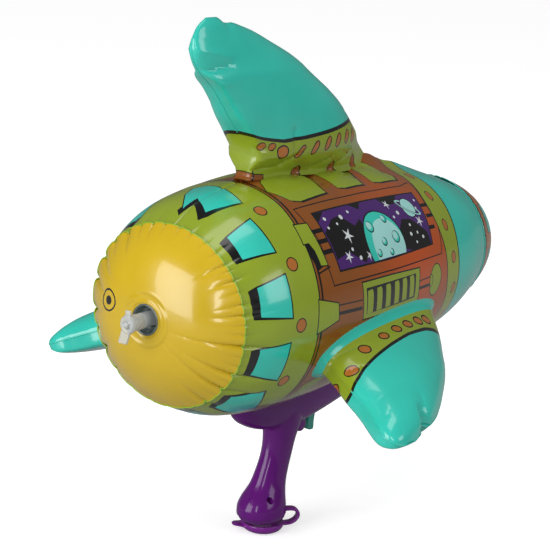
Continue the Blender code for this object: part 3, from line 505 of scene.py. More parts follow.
def sheet(name, surface, low, high, grid, drawing, base, flip=False):
    """Printed film: `surface` carries flat (u, v) arrays to points in the hull frame."""
    uv, faces, colours, names = triangulated(low, high, grid, drawing)
    points = surface(uv[:, 0], uv[:, 1])
    step = 0.4
    u = np.clip(uv[:, 0], low[0] + 2 * step, high[0] - 2 * step)
    v = np.clip(uv[:, 1], low[1] + 2 * step, high[1] - 2 * step)
    du = surface(u + step, v) - surface(u - step, v)
    dv = surface(u, v + step) - surface(u, v - step)
    normals = unit(np.cross(du, dv))
    if flip:
        normals = -normals
        faces = faces[:, ::-1]
    used = [base] + sorted(set(names) - {base})
    table = np.array([used.index(n) for n in names] + [0])
    return film_object(name, points, faces.tolist(), [INK[n] for n in used], table[colours], normals)


def rows_of_points(rows, spacing, low, high):
    """Grid rows at the given u, each filled along v at its own spacing."""
    out = []
    for i, u in enumerate(rows):
        step = spacing(u)
        count = max(4, round((high - low) / step))
        v = low + (high - low) * (np.arange(count) + 0.5 * (i % 2) + 0.25) / count
        out.append(np.c_[np.full(count, u), v])
    return np.vstack(out)


def folds(along, away, spots):
    """Sharp creases that run away from a seam and die out."""
    total = np.zeros_like(along)
    for place, depth, length, width, slant in spots:
        reach = np.clip(away, 0, None) / length
        off = np.abs(along - place - slant * away)
        total += depth * np.exp(-1.2 * reach**1.5) * np.exp(-off / (width * (0.55 + 0.6 * reach)))
    return total


def fold_line(px, py, a, b, depth, width):
    """Crease along one straight line on a flat panel."""
    a, b = np.array(a, float), np.array(b, float)
    span = b - a
    t = np.clip(((px - a[0]) * span[0] + (py - a[1]) * span[1]) / (span @ span), 0, 1)
    off = np.hypot(px - a[0] - t * span[0], py - a[1] - t * span[1])
    return depth * np.exp(-off / width) * (1 - 0.6 * t)


def seam_folds(count, girth, depth, length, width):
    """Uneven creases round a circular seam."""
    spots = []
    for i in range(count):
        place = (i + RANDOM.uniform(-0.33, 0.33)) * girth / count
        d = depth * RANDOM.uniform(0.2, 1.3)
        reach = length * RANDOM.choice((0.45, 0.7, 1.0, 1.7))
        w = width * RANDOM.uniform(0.7, 1.4)
        for lap in (-girth, 0.0, girth):
            spots.append((place + lap, d, reach, w, RANDOM.uniform(-0.1, 0.1)))
    return spots


GIRTH = math.tau * GIRTH_R
# Creases of the tail seam: (degrees from the top towards starboard, depth, length, width)
TAIL_CREASES = (
    (6, 1.2, 7, 3), (16, 1.4, 8, 3), (28, 1.0, 8, 2.6), (38, 1.2, 8, 2.4),
    (47, 2.5, 11, 2.4), (52, 1.0, 7, 2.2), (58.5, 2.2, 11, 2.4), (66, 1.0, 8, 2.2),
    (73.5, 2.0, 10, 2.2), (80, 2.8, 15, 2.4), (86, 1.1, 8, 2.2), (92, 1.3, 9, 2.2),
    (99, 4.2, 26, 2.6), (106, 0.8, 8, 2.5), (112, 0.9, 8, 2.5), (119, 4.4, 23, 3.0),
    (125, 0.6, 8, 2.5), (132, 4.8, 29, 3.2), (139, 0.8, 10, 3.0), (148, 3.2, 17, 3.2),
    (157, 0.6, 9, 3.2), (165, 0.8, 9, 4.0), (178, 0.6, 8, 4.0), (192, 0.7, 9, 5.0),
    (207, 1.0, 10, 5.5), (222, 2.2, 13, 6.0), (237, 5.0, 19, 6.5), (251, 3.2, 13, 5.0),
    (262, 5.4, 18, 5.5), (281, 6.8, 19, 5.0), (296, 6.2, 17, 5.0), (309, 2.8, 10, 4.0),
    (322, 4.4, 14, 4.5), (334, 1.8, 10, 3.5), (344, 2.4, 10, 3.0), (354, 1.4, 9, 3.0),
)
TAIL_FOLDS = [
    (math.radians(deg + lap) * GIRTH_R, depth, length, width, RANDOM.uniform(-0.1, 0.1))
    for deg, depth, length, width in TAIL_CREASES for lap in (-360, 0, 360)
]
NOSE_FOLDS = seam_folds(46, GIRTH, 0.7, 9.0, 2.6)
SIDE_SHARE = 0.8
# How far forwards the tail seam's softness reaches, and the dip along the two long welds
TAIL_SOFT = 40.0
WELD_DIP, WELD_WIDE = 1.0, 1.2
RIDGE_SHARP, RIDGE_WIDE = 11.0, 24.0


def squash(theta):
    """How far the soft tail seam is from round, at an angle from the top towards starboard."""
    return -0.6 - 2.75 * np.cos(theta) - 2.5 * np.sin(theta) - 2.1 * np.cos(2 * theta)


# Height of the crease that runs forwards from the top fin along the top seam
RIDGE = curve(((188.0, 0.0), (205.0, 13.0), (216.0, 13.0), (228.0, 10.0), (242.0, 7.5), (254.0, 7.0),
               (273.0, 4.0), (284.0, 2.4), (304.0, 0.0)))


# ---------------------------------------------------------------- hull
PUFFS, PUFF_RISE, STRAP_DIP = ((24.0, 92.0), (99.0, 150.0), (156.0, 206.0)), 2.6, 1.6


def pillow(x, a):
    """Puffs between the orange straps that run up to the top fin."""
    near = np.exp(-np.clip(a - 12 * DEG, 0, None) ** 2 / (14 * DEG) ** 2)
    total = np.zeros_like(x)
    for start, end in PUFFS:
        t = np.clip((x - start) / (end - start), 0, 1)
        total += np.sin(math.pi * t) ** 0.7
    return (PUFF_RISE * total - STRAP_DIP) * near


def hull_surface(side):
    """Printed side: u along the hull, v along its girth from the top seam."""

    def surface(u, v):
        theta = v / GIRTH_R
        signed = np.where(side > 0, v, GIRTH - v)
        r = hull_radius(u)
        r = r - SIDE_SHARE * folds(signed, u - TAIL_X, TAIL_FOLDS)
        r = r - folds(signed, NOSE_X - u, NOSE_FOLDS)
        r = r + pillow(u, v) + RIDGE(u) * np.exp(-np.abs(v) / RIDGE_SHARP - (v / RIDGE_WIDE) ** 2)
        r = r + squash(side * theta) * np.exp(-(u - TAIL_X) / TAIL_SOFT)
        seam = np.minimum(np.abs(v), np.abs(GIRTH / 2 - v))
        r = r - WELD_DIP * np.exp(-seam / WELD_WIDE)
        return np.c_[u, -side * np.sin(theta) * r, np.cos(theta) * r]

    return surface


def girth(*pairs):
    """Outline given as (x, degrees from the top seam)."""
    return np.array([(x, deg * DEG) for x, deg in pairs])


def ring_line(stations, offset=0.0):
    """Line round the hull through (x, degrees) stations."""
    at = curve([(deg, x) for x, deg in stations])
    degrees = np.linspace(-4.0, 184.0, 48)
    return np.c_[at(degrees) + offset, degrees * DEG]


# Edges of the printed rings round the hull, as (x, degrees) stations
AFT_RING = ((18.0, 0.0), (15.0, 25.0), (9.0, 56.0), (8.0, 76.0), (7.0, 96.0), (8.0, 114.0), (8.0, 180.0))
FORE_RING = (
    (231.0, 0.0), (230.0, 18.0), (227.0, 27.0), (220.0, 45.0), (221.0, 64.0), (224.0, 78.0),
    (227.0, 94.0), (234.0, 112.0), (228.0, 140.0), (226.0, 180.0),
)
FORE_RING_FRONT = ((254.0, 0.0), (256.0, 40.0), (252.0, 80.0), (256.0, 110.0), (254.0, 180.0))


def draw_barrel(drawing):
    """Lime barrel behind the aft ring, with its windows and rivets."""
    edge = ring_line(AFT_RING)
    drawing.paint("lime", np.vstack([edge, [(-90, 184 * DEG), (-90, -4 * DEG)]]))
    drawing.line(edge, 1.5)
    drawing.line(ring_line(AFT_RING, 3.8), 2.2)
    for c in (41.0, 74.5, 109.0):
        drawing.paint("black", girth((-57.5, c - 7.5), (-50, c - 9), (-22.6, c - 11.6), (-22.6, c + 11.6),
                                     (-57, c + 9)))
        drawing.paint("teal", girth((-50, c - 8), (-23.8, c - 10.7), (-23.8, c + 10.7), (-51, c + 8)))
    drawing.paint("black", girth((-59, 136), (-27, 127), (-5.5, 155.5), (-56, 152.5)))
    drawing.paint("teal", girth((-52.5, 136), (-28, 128.2), (-7.5, 154.6), (-50.5, 151)))
    drawing.paint("black", girth((-57, 164), (-20, 160), (-20, 190), (-56, 190)))
    drawing.paint("teal", girth((-50, 166), (-21.5, 161.5), (-21.5, 190), (-50, 190)))
    for x, deg in ((-8, 28), (-13, 60), (-14, 90), (-15, 121), (-15, 152), (-15, 178)):
        drawing.edged("rivet", disc(x, deg * DEG, 4.9, 5.4), 1.0)


def draw_zigzag_window(drawing, side):
    """The window across the top seam; each side of the hull carries its own share."""
    shadow = girth((-51, -3), (-47, -6), (-28, -3), (-33, 1), (-40, 9), (-14, 19), (-44, 13.5), (-50, 11),
                   (-36, -0.5))
    pane = girth((-24, -13), (-7, -16), (-1, -11), (-1, -4), (-4, 3), (-8, 10), (-13, 18), (-28, 15),
                 (-42, 10.5), (-29, -2.5), (-45, -4))
    for colour, shape in (("black", grown(shadow, 1.0)), ("black", grown(pane, 1.1)), ("teal", pane)):
        drawing.paint(colour, shape * (1, side))


def draw_straps(drawing):
    """Lime panels beside the top fin, with the orange straps between them."""
    panels = (
        ((60, -4), (30, 9), (22, 17), (30, 28), (40, 30), (81, 28), (81, 24), (96, -4)),
        ((104, -4), (104, 26), (113, 27), (145, 26), (145, 24), (155, 13), (160, -4)),
        ((170, -4), (163, 25), (175, 26), (209, 24), (213, 19), (185, -4)),
    )
    for panel in panels:
        shape = girth(*panel)
        drawing.paint("black", shape + (1.6, 2.2))
        drawing.edged("lime", shape, 0.9)


def draw_window(drawing):
    """Picture window: space, stars, a ringed planet and a cratered moon, in a notched frame."""
    frame_shape = girth((24, 34), (108, 33), (199, 31), (221, 28), (223, 30), (217, 46), (220, 60),
                        (214, 76), (133, 76), (37, 75), (29, 75), (26, 65), (28, 52), (25, 43))
    drawing.edged("orange", frame_shape, 1.2)
    for x0, x1, deg in ((26, 40, 48), (24, 42, 53.5), (25, 42, 59),
                        (207, 223, 46), (207, 221, 53), (203, 214, 60)):
        drawing.line(girth((x0, deg), (x1, deg)), 4.0)
    opening = girth((40, 39), (124, 38), (208, 37), (204, 53), (199, 69), (120, 70), (41, 69), (39, 54))
    drawing.paint("black", grown(opening, 1.6))
    drawing.paint("space", opening)
    for patch in (
        ((40, 50), (58, 44), (70, 43), (84, 50), (96, 47), (98, 60), (80, 69), (60, 62), (41, 64)),
        ((92, 38), (112, 38), (104, 42)),
        ((140, 38), (176, 37), (168, 42), (150, 43)),
        ((150, 57), (160, 52), (176, 53), (196, 62), (198, 69), (165, 70), (150, 68)),
        ((40, 39), (54, 39), (40, 44)),
    ):
        drawing.paint("black", girth(*patch))
    for x, deg, size in ((68, 54, 7.5), (58, 64, 6), (150, 42, 5.5), (190, 55, 6.5), (88, 66, 5)):
        drawing.paint("white", star(x, deg * DEG, size))
    for x, deg, size in ((50, 43, 1.8), (72, 44, 2.4), (86, 42, 1.5), (48, 48, 1.4), (62, 47, 1.3),
                         (66, 61, 1.6), (74, 66, 2.0), (160, 48, 2.2), (150, 50, 1.5), (170, 56, 1.6),
                         (166, 61, 2.0), (178, 61, 1.5), (172, 66, 1.4), (186, 64, 1.8), (196, 47, 1.4),
                         (202, 42, 1.5)):
        drawing.paint("white", disc(x, deg * DEG, size, corners=10))
    draw_moon(drawing, opening)
    draw_planet(drawing)


def draw_moon(drawing, opening):
    """Plain cratered moon rising behind the window's lower edge."""
    x, a = 120.0, 62.0 * DEG
    low, high = opening.min(0), np.array((opening[:, 0].max(), 69.6 * DEG))
    for colour, shape in (
        ("black", disc(x, a, 31.4, corners=40)),
        ("teal", disc(x, a, 30.0, corners=40)),
        ("pale", disc(x + 4.5, a + 3.0, 25.5, corners=40)),
    ):
        drawing.paint(colour, clipped(shape, low, high))
    for cx, deg, size in ((104, 52, 4.6), (117, 61, 3.2), (131, 49.5, 3.0), (138, 60, 5.0),
                          (124, 67, 2.4), (104, 66, 2.8)):
        drawing.paint("black", disc(cx + 0.4, deg * DEG + 0.7, size + 1.0))
        drawing.paint("teal", disc(cx + 0.4, deg * DEG + 0.5, size))
        drawing.paint("pale", disc(cx - 0.5, deg * DEG - 0.7, size * 0.8))


def draw_planet(drawing):
    """Small planet in a tilted ring, whose near side passes in front of it."""
    x, a, tilt = 183.0, 46.0 * DEG, 0.5
    drawing.paint("pale", disc(x, a, 18.5, 5.2, tilt, 32))
    drawing.paint("space", disc(x, a, 16.2, 3.3, tilt, 32))
    drawing.edged("pale", disc(x, a, 10.2, corners=28), 1.0)
    turn = np.linspace(0.25, math.pi - 0.25, 16)
    c, s = math.cos(tilt), math.sin(tilt)
    px, pa = 17.2 * np.cos(turn), 4.3 * np.sin(turn)
    near_side = np.c_[x + px * c - pa * s, a + px * s + pa * c]
    drawing.line(near_side, 2.6)
    drawing.paint("pale", stroke(near_side, 1.3))


def draw_fittings(drawing):
    """Blocks, pipes, louvred grille and lamp printed round the window."""
    drawing.paint("black", girth((8, 52), (15, 52.5), (19, 65.5), (12.5, 66.5), (9, 59)))
    drawing.edged("lime", girth((10, 42), (25, 43), (24.5, 48), (25, 59), (26, 65), (18, 64.5), (17, 57),
                                (14, 52.5), (8, 52.5)), 1.1)
    drawing.line(girth((11, 68), (29, 66)), 1.4)
    drawing.edged("lime", girth((7, 80), (32, 84), (33, 92), (6, 96)), 1.1)
    drawing.line(girth((33, 85), (68, 86)), 1.2)
    drawing.line(girth((33, 89), (68, 90)), 3.0)
    drawing.edged("lime", girth((69, 78), (118, 78.6), (167, 80), (166, 98), (118, 97), (71, 96)), 1.3)
    drawing.paint("black", girth((74, 81), (160, 82), (159, 95), (75, 94)))
    for x0, x1 in ((76, 85), (91, 99.5), (106, 114), (121, 129), (135, 143), (148.5, 156.5)):
        drawing.paint("lime", girth((x0, 82.5), (x1 - 1.5, 82.3), (x1, 84), (x1, 94), (x0, 94)))
    drawing.line(girth((166, 87), (190, 87)), 1.2)
    drawing.line(girth((166, 91), (190, 91.5)), 3.0)
    drawing.edged("lime", disc(200.0, 90.0 * DEG, 11.0, 15.5, 0.12, 30), 1.1)
    half = np.linspace(-math.pi / 2, math.pi / 2, 14)
    socket = np.c_[189.0 + 5.0 * np.cos(half), 89.5 * DEG + 6.0 * np.sin(half)]
    drawing.edged("lime", socket, 0.9)
    drawing.edged("lime", girth((20, 128), (52, 121), (40, 136), (18, 142)), 1.0)
    drawing.edged("lime", girth((24, 148), (66, 140), (50, 156), (20, 160)), 1.0)


def draw_nose_ring(drawing):
    """Teal nose section behind a lime ring with rivets."""
    inner, front = ring_line(FORE_RING), ring_line(FORE_RING_FRONT)
    drawing.paint("teal", np.vstack([front, [(360, 184 * DEG), (360, -4 * DEG)]]))
    drawing.paint("lime", np.vstack([inner, front[::-1]]))
    drawing.line(inner, 1.6)
    drawing.line(front, 2.0)
    middle = curve([(deg, x) for x, deg in FORE_RING])
    for k in range(1, 9):
        deg = -1.0 + 20.5 * k
        x = float(middle(deg)) + 15.5
        drawing.edged("rivet", disc(x, deg * DEG, 3.9, 5.9), 1.0)
    drawing.line(girth(*[(333.6, deg) for deg in (-4, 60, 120, 184)]), 1.4)


def hull_drawing(side):
    drawing = Drawing()
    draw_straps(drawing)
    draw_barrel(drawing)
    draw_zigzag_window(drawing, side)
    draw_window(drawing)
    draw_fittings(drawing)
    draw_nose_ring(drawing)
    return drawing


def build_hull():
    rows = np.concatenate([
        np.arange(TAIL_X + 1.2, -38.0, 1.4), np.arange(-36.0, 300.0, 3.2),
        np.arange(300.0, NOSE_X - 1.0, 1.6),
    ])

    def spacing(x):
        if x < -40.0:
            return 1.2
        if x > 316.0:
            return 1.6
        return 2.0 if x < -22.0 else 3.2

    low, high = (TAIL_X, 0.0), (NOSE_X, GIRTH / 2)
    grid = rows_of_points(rows, spacing, low[1] + 0.6, high[1] - 0.6)
    seams = np.arange(TAIL_X + 2, NOSE_X - 2, 3.0)
    extra = [np.c_[seams, np.full(len(seams), v)] for v in (1.4, 2.8, GIRTH / 2 - 1.4, GIRTH / 2 - 2.8)]
    grid = np.vstack([grid, *extra])
    for side, name in SIDES:
        obj = sheet(f"hull_side_{name}", hull_surface(side), low, high, grid, hull_drawing(side),
                    "orange", flip=side > 0)
        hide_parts(f"hull_{name}_panel")


# ---------------------------------------------------------------- end domes
def dome_surface(seam_x, seam_r, bulge, power, direction, spots):
    """End disc: u round the seam, v inwards from the seam."""
    scale = seam_r / GIRTH_R

    def surface(u, v):
        theta = u / GIRTH_R
        crease = folds(u, v, spots)
        rim = seam_r + (squash(theta) if direction < 0 else 0.0)
        r = (seam_r - v) * rim / seam_r
        share = np.clip(r / rim, 0, 1.2)
        edge = np.exp(-v / 26.0)
        out = bulge * (1 - share**power) - crease * (1 - 0.45 * edge)
        r = r - crease * (0.25 + 0.75 * edge) * np.clip(share, 0, 1) * (0.6 + 0.4 * scale)
        weld = ring_ridges(r) if direction < 0 else 0.0
        lean = 1 - share if direction > 0 else 0.0
        y = -np.sin(theta) * r + NOSE_DRIFT_Y * lean
        z = np.cos(theta) * r + NOSE_DRIFT_Z * lean
        return np.c_[seam_x + direction * (out + weld), y, z]

    return surface


def ring_ridges(r):
    """Weld rings round the valve's hole."""
    total = np.zeros_like(r)
    for radius, height in ((22.0, 0.5), (19.6, 0.35), (15.2, 0.8)):
        total += height * np.exp(-((r - radius) / 0.8) ** 2)
    return total


def dome_grid(depth, fine, coarse, round_fine, round_coarse):
    """Points for an end dome, closer together up to `fine` from its seam."""
    rows = np.concatenate([np.arange(0.9, fine, 1.3), np.arange(fine, depth - 0.5, coarse)])
    points = []
    for i, v in enumerate(rows):
        step = round_fine if v < fine else round_coarse
        count = round(GIRTH / step)
        points.append(np.c_[(np.arange(count) + 0.5 * (i % 2) + 0.25) * GIRTH / count, np.full(count, v)])
    return np.vstack(points)


def build_domes():
    tail = Drawing()
    mark = 278.5 * DEG
    for colour, size in (("black", 9.4), ("yellow", 7.8), ("black", 3.8)):
        tail.paint(colour, disc(mark, 36.5, size * 2.3, size, corners=28))
    depth = TAIL_R - VALVE_HOLE_R
    surface = dome_surface(TAIL_X - TAIL_GAP, TAIL_R, TAIL_BULGE, TAIL_POWER, -1, TAIL_FOLDS)
    obj = sheet("tail_dome", surface, (0.0, 0.0), (GIRTH, depth), dome_grid(depth, 30.0, 2.0, 1.5, 3.6),
                tail, "yellow", flip=True)
    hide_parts("tail_cap")
    nose = Drawing()
    for k in range(8):
        c = (16.0 + 45.0 * k) * DEG
        nose.edged("teal", np.array([(c - 14 * DEG, 5.5), (c + 14 * DEG, 5.5), (c + 15.5 * DEG, 21.0),
                                     (c - 15.5 * DEG, 21.0)]), 1.3)
    for v, width in ((1.2, 1.2), (27.0, 1.6)):
        nose.line([(u * DEG, v) for u in range(-2, 363, 4)], width)
    tip = NOSE_R - 0.4
    surface = dome_surface(NOSE_X + TAIL_GAP, NOSE_R, NOSE_BULGE, NOSE_POWER, 1, NOSE_FOLDS)
    obj = sheet("nose_dome", surface, (0.0, 0.0), (GIRTH, tip), dome_grid(tip, 16.0, 2.2, 2.2, 4.5), nose,
                "rivet")
    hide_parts("nose_cap")


def skin(count, size, loop):
    """Faces between rings of equally many points; a loop joins its last ring to its first."""
    faces = []
    for k in range(count if loop else count - 1):
        a, b = k * size, (k + 1) % count * size
        faces.extend((a + i, a + (i + 1) % size, b + (i + 1) % size, b + i) for i in range(size))
    return faces


def tube(name, path, radius, material, closed=False, sides=8):
    """Thin bead along a path of points."""
    if closed:
        along = unit(np.roll(path, -1, 0) - np.roll(path, 1, 0))
    else:
        along = unit(np.gradient(path, axis=0))
    first = unit(np.cross(along, along + (0.31, 0.57, 0.76)))
    second = np.cross(along, first)
    turn = np.arange(sides) * math.tau / sides
    ring = first[:, None] * np.cos(turn)[None, :, None] + second[:, None] * np.sin(turn)[None, :, None]
    points = (path[:, None] + ring * radius).reshape(-1, 3)
    film_object(name, points, skin(len(path), sides, closed), [material])


def seam_circle(x, theta, r):
    return np.c_[np.full(len(theta), x), -np.sin(theta) * r, np.cos(theta) * r]


def build_welds():
    """Beads of film along the two end seams."""
    u = np.linspace(0, GIRTH, 720, endpoint=False)
    theta, at_seam = u / GIRTH_R, np.zeros_like(u)
    tail = TAIL_R + squash(theta) - SIDE_SHARE * folds(u, at_seam, TAIL_FOLDS) + 0.2
    nose = NOSE_R - folds(u, at_seam, NOSE_FOLDS)
    tube("tail_weld", seam_circle(TAIL_X - 0.2, theta, tail), 0.5, INK["edge"], closed=True)
    tube("nose_weld", seam_circle(NOSE_X + 0.15, theta, nose), 0.5, INK["teal"], closed=True)


# ---------------------------------------------------------------- fins
def fin_surface(rows, root, flare, powers, dent, place):
    """One face of a fin. u runs along the chord and v up the fin; it flares onto the hull."""
    rear_power, tip_power, foot_power = powers
    rear, front, half = (column(rows, i) for i in (1, 2, 3))

    def surface(u, v):
        s = np.clip(u / FIN_LONG, 0.0, 1.0)
        angle = math.pi * s
        across = np.sin(angle)
        rise = v - root
        q = np.clip(1 - rise / flare, 0, 1)
        spread = flare * (1 - np.sqrt(1 - q**2))
        middle, reach = (rear(v) + front(v)) / 2, (front(v) - rear(v)) / 2
        x = middle - (reach + spread) * np.cos(angle)
        front_power = FIN_FRONT_POWER + (foot_power - FIN_FRONT_POWER) * smooth((FOOT_TOP - v) / FOOT_EASE)
        back_power = rear_power + (tip_power - rear_power) * smooth((v - TIP_FROM) / TIP_EASE)
        bluntness = back_power + (front_power - back_power) * smooth(s * 1.6)
        y = half(v) * across**bluntness + spread * across ** np.clip(bluntness, 0.7, None)
        on_hull = np.sqrt(np.clip(hull_radius(x) ** 2 - y**2, 0, None)) - 0.3
        share = smooth(rise / FREE_RISE)
        z = (on_hull + rise) * (1 - share) + v * share
        dy, dz = dent(x, z)
        y = np.clip(y - dy * across**0.4, 0, None)
        return place(x, y, z + dz)

    return surface


def fin_uv(rows, shape):
    """Side-view (x, height) outline on the fin's own flat drawing."""
    rear, front = column(rows, 1), column(rows, 2)
    x, v = np.asarray(shape, float).T
    middle, reach = (rear(v) + front(v)) / 2, (front(v) - rear(v)) / 2
    return np.c_[np.arccos(np.clip((middle - x) / reach, -1, 1)) / math.pi * FIN_LONG, v]


def fin_grid(low_v, high_v, columns=92):
    rows, v, step = [], low_v + 0.35, 0.5
    while v < high_v - 0.4:
        rows.append(v)
        v += step
        step = min(step * 1.12, 2.2)
    points = []
    for i, v in enumerate(rows):
        u = (np.arange(columns) + 0.5 * (i % 2) + 0.25) / columns * FIN_LONG
        points.append(np.c_[u, np.full(columns, v)])
    return np.vstack(points)


def edge_creases(seed, counts, tall, depth):
    """Short creases that run in from a fin's rear and front edges.

    Each is (height, depth, length, width, slant).
    """
    rng = np.random.default_rng(seed)
    low, high = tall
    return [
        [(low + (high - low) * rng.random(), depth * rng.uniform(0.5, 1.4), rng.uniform(5, longest),
          rng.uniform(1.2, 2.6), rng.uniform(-0.4, 0.4)) for _ in range(count)]
        for count, longest in zip(counts, (14, 16))
    ]


# Where the straps start on the top fin's foot (x)
KNOBS = (81.0, 130.0, 172.0)
# Creases across the top fin: (start, end, depth, width); a negative depth is a puff
TOP_LINES = (
    ((-42, 194), (-14, 199), 6.0, 4.6), ((-46, 212), (-14, 205), -3.4, 6.0),
    ((-36, 186), (-20, 184), -4.0, 5.0), ((24, 127), (50, 125), 4.0, 3.4),
    ((24, 117), (64, 119), -3.2, 4.0), ((24, 108), (60, 110), 4.0, 3.0),
    ((64, 140), (66, 118), 2.6, 2.4), ((58, 112), (80, 122), 2.4, 2.4),
    ((100, 104), (128, 112), 2.0, 2.4), ((140, 104), (162, 112), 1.6, 2.4),
    *(((knob, 98), (knob + 1, 107), 3.4, 3.0) for knob in KNOBS),
)
SIDE_LINES = (
    ((36, 208), (48, 182), 3.0, 4.2), ((16, 120), (40, 132), 1.6, 2.4), ((24, 104), (60, 112), 2.0, 3.0),
)
TOP_CREASES = edge_creases(3, (6, 9), (125.0, 228.0), 0.8)
SIDE_CREASES = edge_creases(5, (5, 8), (120.0, 200.0), 0.7)


def creased(x, z, rows, creases, lines):
    """How far a fin's film is pressed in at a place of its side view."""
    rear, front = column(rows, 1)(z), column(rows, 2)(z)
    total = folds(z, x - rear, creases[0]) + folds(z, front - x, creases[1])
    for start, end, depth, width in lines:
        total = total + fold_line(x, z, start, end, depth, width)
    return total


def notch(x, z, at, wide, deep, low, rise):
    """Dip in a fin's free edge, which starts at a height."""
    return -deep * np.exp(-((x - at) / wide) ** 2) * smooth((z - low) / rise)


def top_dent(x, z):
    """Creases of the top fin: bent tip, pinched foot and the knobs where the straps start."""
    return creased(x, z, TOP_FIN_ROWS, TOP_CREASES, TOP_LINES), notch(x, z, -9, 6, 2.6, 215, 14)


def port_dent(x, z):
    """The top fin's port side is the fuller one."""
    dy, dz = top_dent(x, z)
    return dy - PORT_BULGE * np.exp(-(((z - PORT_BULGE_AT) / PORT_BULGE_TALL) ** 2)), dz


def side_dent(x, z):
    return creased(x, z, SIDE_FIN_ROWS, SIDE_CREASES, SIDE_LINES), notch(x, z, 38, 5.2, 7.0, 182, 20)


def top_fin_drawing(side):
    """Teal fin with a lime, riveted foot; its border drops round the port corner."""
    drawing = Drawing()
    border = fin_uv(TOP_FIN_ROWS, [(51, 132), (77, 133), (111, 135), (150, 138), (176, 140)])
    border[-1, 0] = FIN_LONG + 1.0
    corner, rivets = [(-1, 140), (14, 138.6), (28, 136)], [(28, 129), (38.5, 128)]
    if side < 0:
        corner, rivets = [(-1, 140), (10, 136.5), (22, 132.5), (34, 130.5)], [(30, 121)]
    edge = np.vstack([corner, border])
    drawing.paint("lime", np.vstack([edge, [(FIN_LONG + 1, 90), (-1, 90)]]))
    drawing.line(edge, 3.2)
    for x, z in rivets:
        drawing.edged("rivet", fin_uv(TOP_FIN_ROWS, disc(x, z, 3.4, 2.8)), 0.9)
    drawing.edged("rivet", fin_uv(TOP_FIN_ROWS, disc(51, 122.5, 5.4, 5.0)), 1.3)
    for x, z in ((74, 121), (92, 123), (110, 125), (127, 126), (144, 127), (159, 126)):
        drawing.edged("rivet", fin_uv(TOP_FIN_ROWS, disc(x, z, 2.5, 6.0, -0.62)), 0.9)
    low = TOP_ROOT
    foot = fin_uv(TOP_FIN_ROWS, [(24, low - 6), (44, low - 6), (40, low + 3), (28, low + 6)])
    foot[0, 0], foot[-1, 0] = -1.0, -1.0
    drawing.edged("orange", foot, 0.9)
    drawing.line(fin_uv(TOP_FIN_ROWS, [(27, low + 8), (31, low - 2)]), 3.4)
    for x in KNOBS:
        z = low + 3 + 0.03 * (x - KNOBS[0])
        drawing.paint("black", fin_uv(TOP_FIN_ROWS, disc(x, z, 5.8)))
        strap = [(x - 4.4, z - 1), (x + 4.4, z - 1), (x + 6.4, low - 6), (x - 2.4, low - 6)]
        drawing.edged("orange", fin_uv(TOP_FIN_ROWS, strap), 0.8)
        drawing.paint("orange", fin_uv(TOP_FIN_ROWS, disc(x, z, 4.8)))
    return drawing


def side_fin_drawing(lower):
    """Teal fin with a lime, riveted foot, on a teal flange."""
    drawing = Drawing()
    border = [(16, 141), (24, 136.5), (35, 132.5), (58, 128), (82, 124.5), (114, 121), (146, 120),
              (163, 121.5), (180, 126)]
    edge = fin_uv(SIDE_FIN_ROWS, border)
    edge[0, 0], edge[-1, 0] = -1.0, FIN_LONG + 1.0
    drawing.paint("lime", np.vstack([edge, [(FIN_LONG + 1, 90), (-1, 90)]]))
    drawing.line(edge, 3.2)
    rivets = [(27, 127), (55, 116.5), (87, 113.5), (110, 112), (130, 111.5), (149, 111.5), (164, 112)]
    for x, z in rivets[lower:]:
        drawing.edged("rivet", fin_uv(SIDE_FIN_ROWS, disc(x, z, 5.2, 3.2 if x > 80 else 4.6)), 1.2)
    if lower:
        drawing.edged("rivet", disc(11.0, 124.0, 8.5, 4.4), 1.2)
    return drawing


def fin_place(turn, side, level):
    """Turns one face of a fin, at an angle from upright, into the hull frame."""
    c, s = math.cos(turn), math.sin(turn)

    def place(x, y, z):
        y = level * y
        return np.c_[x, side * (y * c - z * s), y * s + z * c]

    return place


def free_edge(rows):
    """Side-view path round a fin's edge, from its border at the rear to that in front."""
    z = np.linspace(FIN_BORDER, rows[-1][0], 120)
    return np.concatenate([column(rows, 1)(z), column(rows, 2)(z)[::-1]]), np.concatenate([z, z[::-1]])


def foot_edge(rows, low):
    """Side-view path up the rear of a fin's foot."""
    z = np.linspace(low, FIN_BORDER, 60)
    return column(rows, 1)(z), z


def fin_bead(name, path, dent, place, colour, radius):
    """Weld along an edge of a fin."""
    x, z = path
    _, dz = dent(x, z)
    tube(name, place(x, np.zeros_like(x), z + dz), radius, INK[colour])


def build_top_fin():
    low, high = (0.0, TOP_ROOT), (FIN_LONG, TOP_FIN_ROWS[-1][0])
    powers = (TOP_REAR_POWER, TIP_REAR_POWER, TOP_FOOT_POWER)
    for side, name in SIDES:
        dent = port_dent if side < 0 else top_dent
        surface = fin_surface(TOP_FIN_ROWS, TOP_ROOT, TOP_FLARE, powers, dent, fin_place(0.0, side, -1))
        obj = sheet(f"top_fin_{name}", surface, low, high, fin_grid(low[1], high[1]),
                    top_fin_drawing(side), "teal", flip=side < 0)
    fin_bead("top_fin_weld", free_edge(TOP_FIN_ROWS), top_dent, fin_place(0.0, 1, 1), "teal", 0.5)


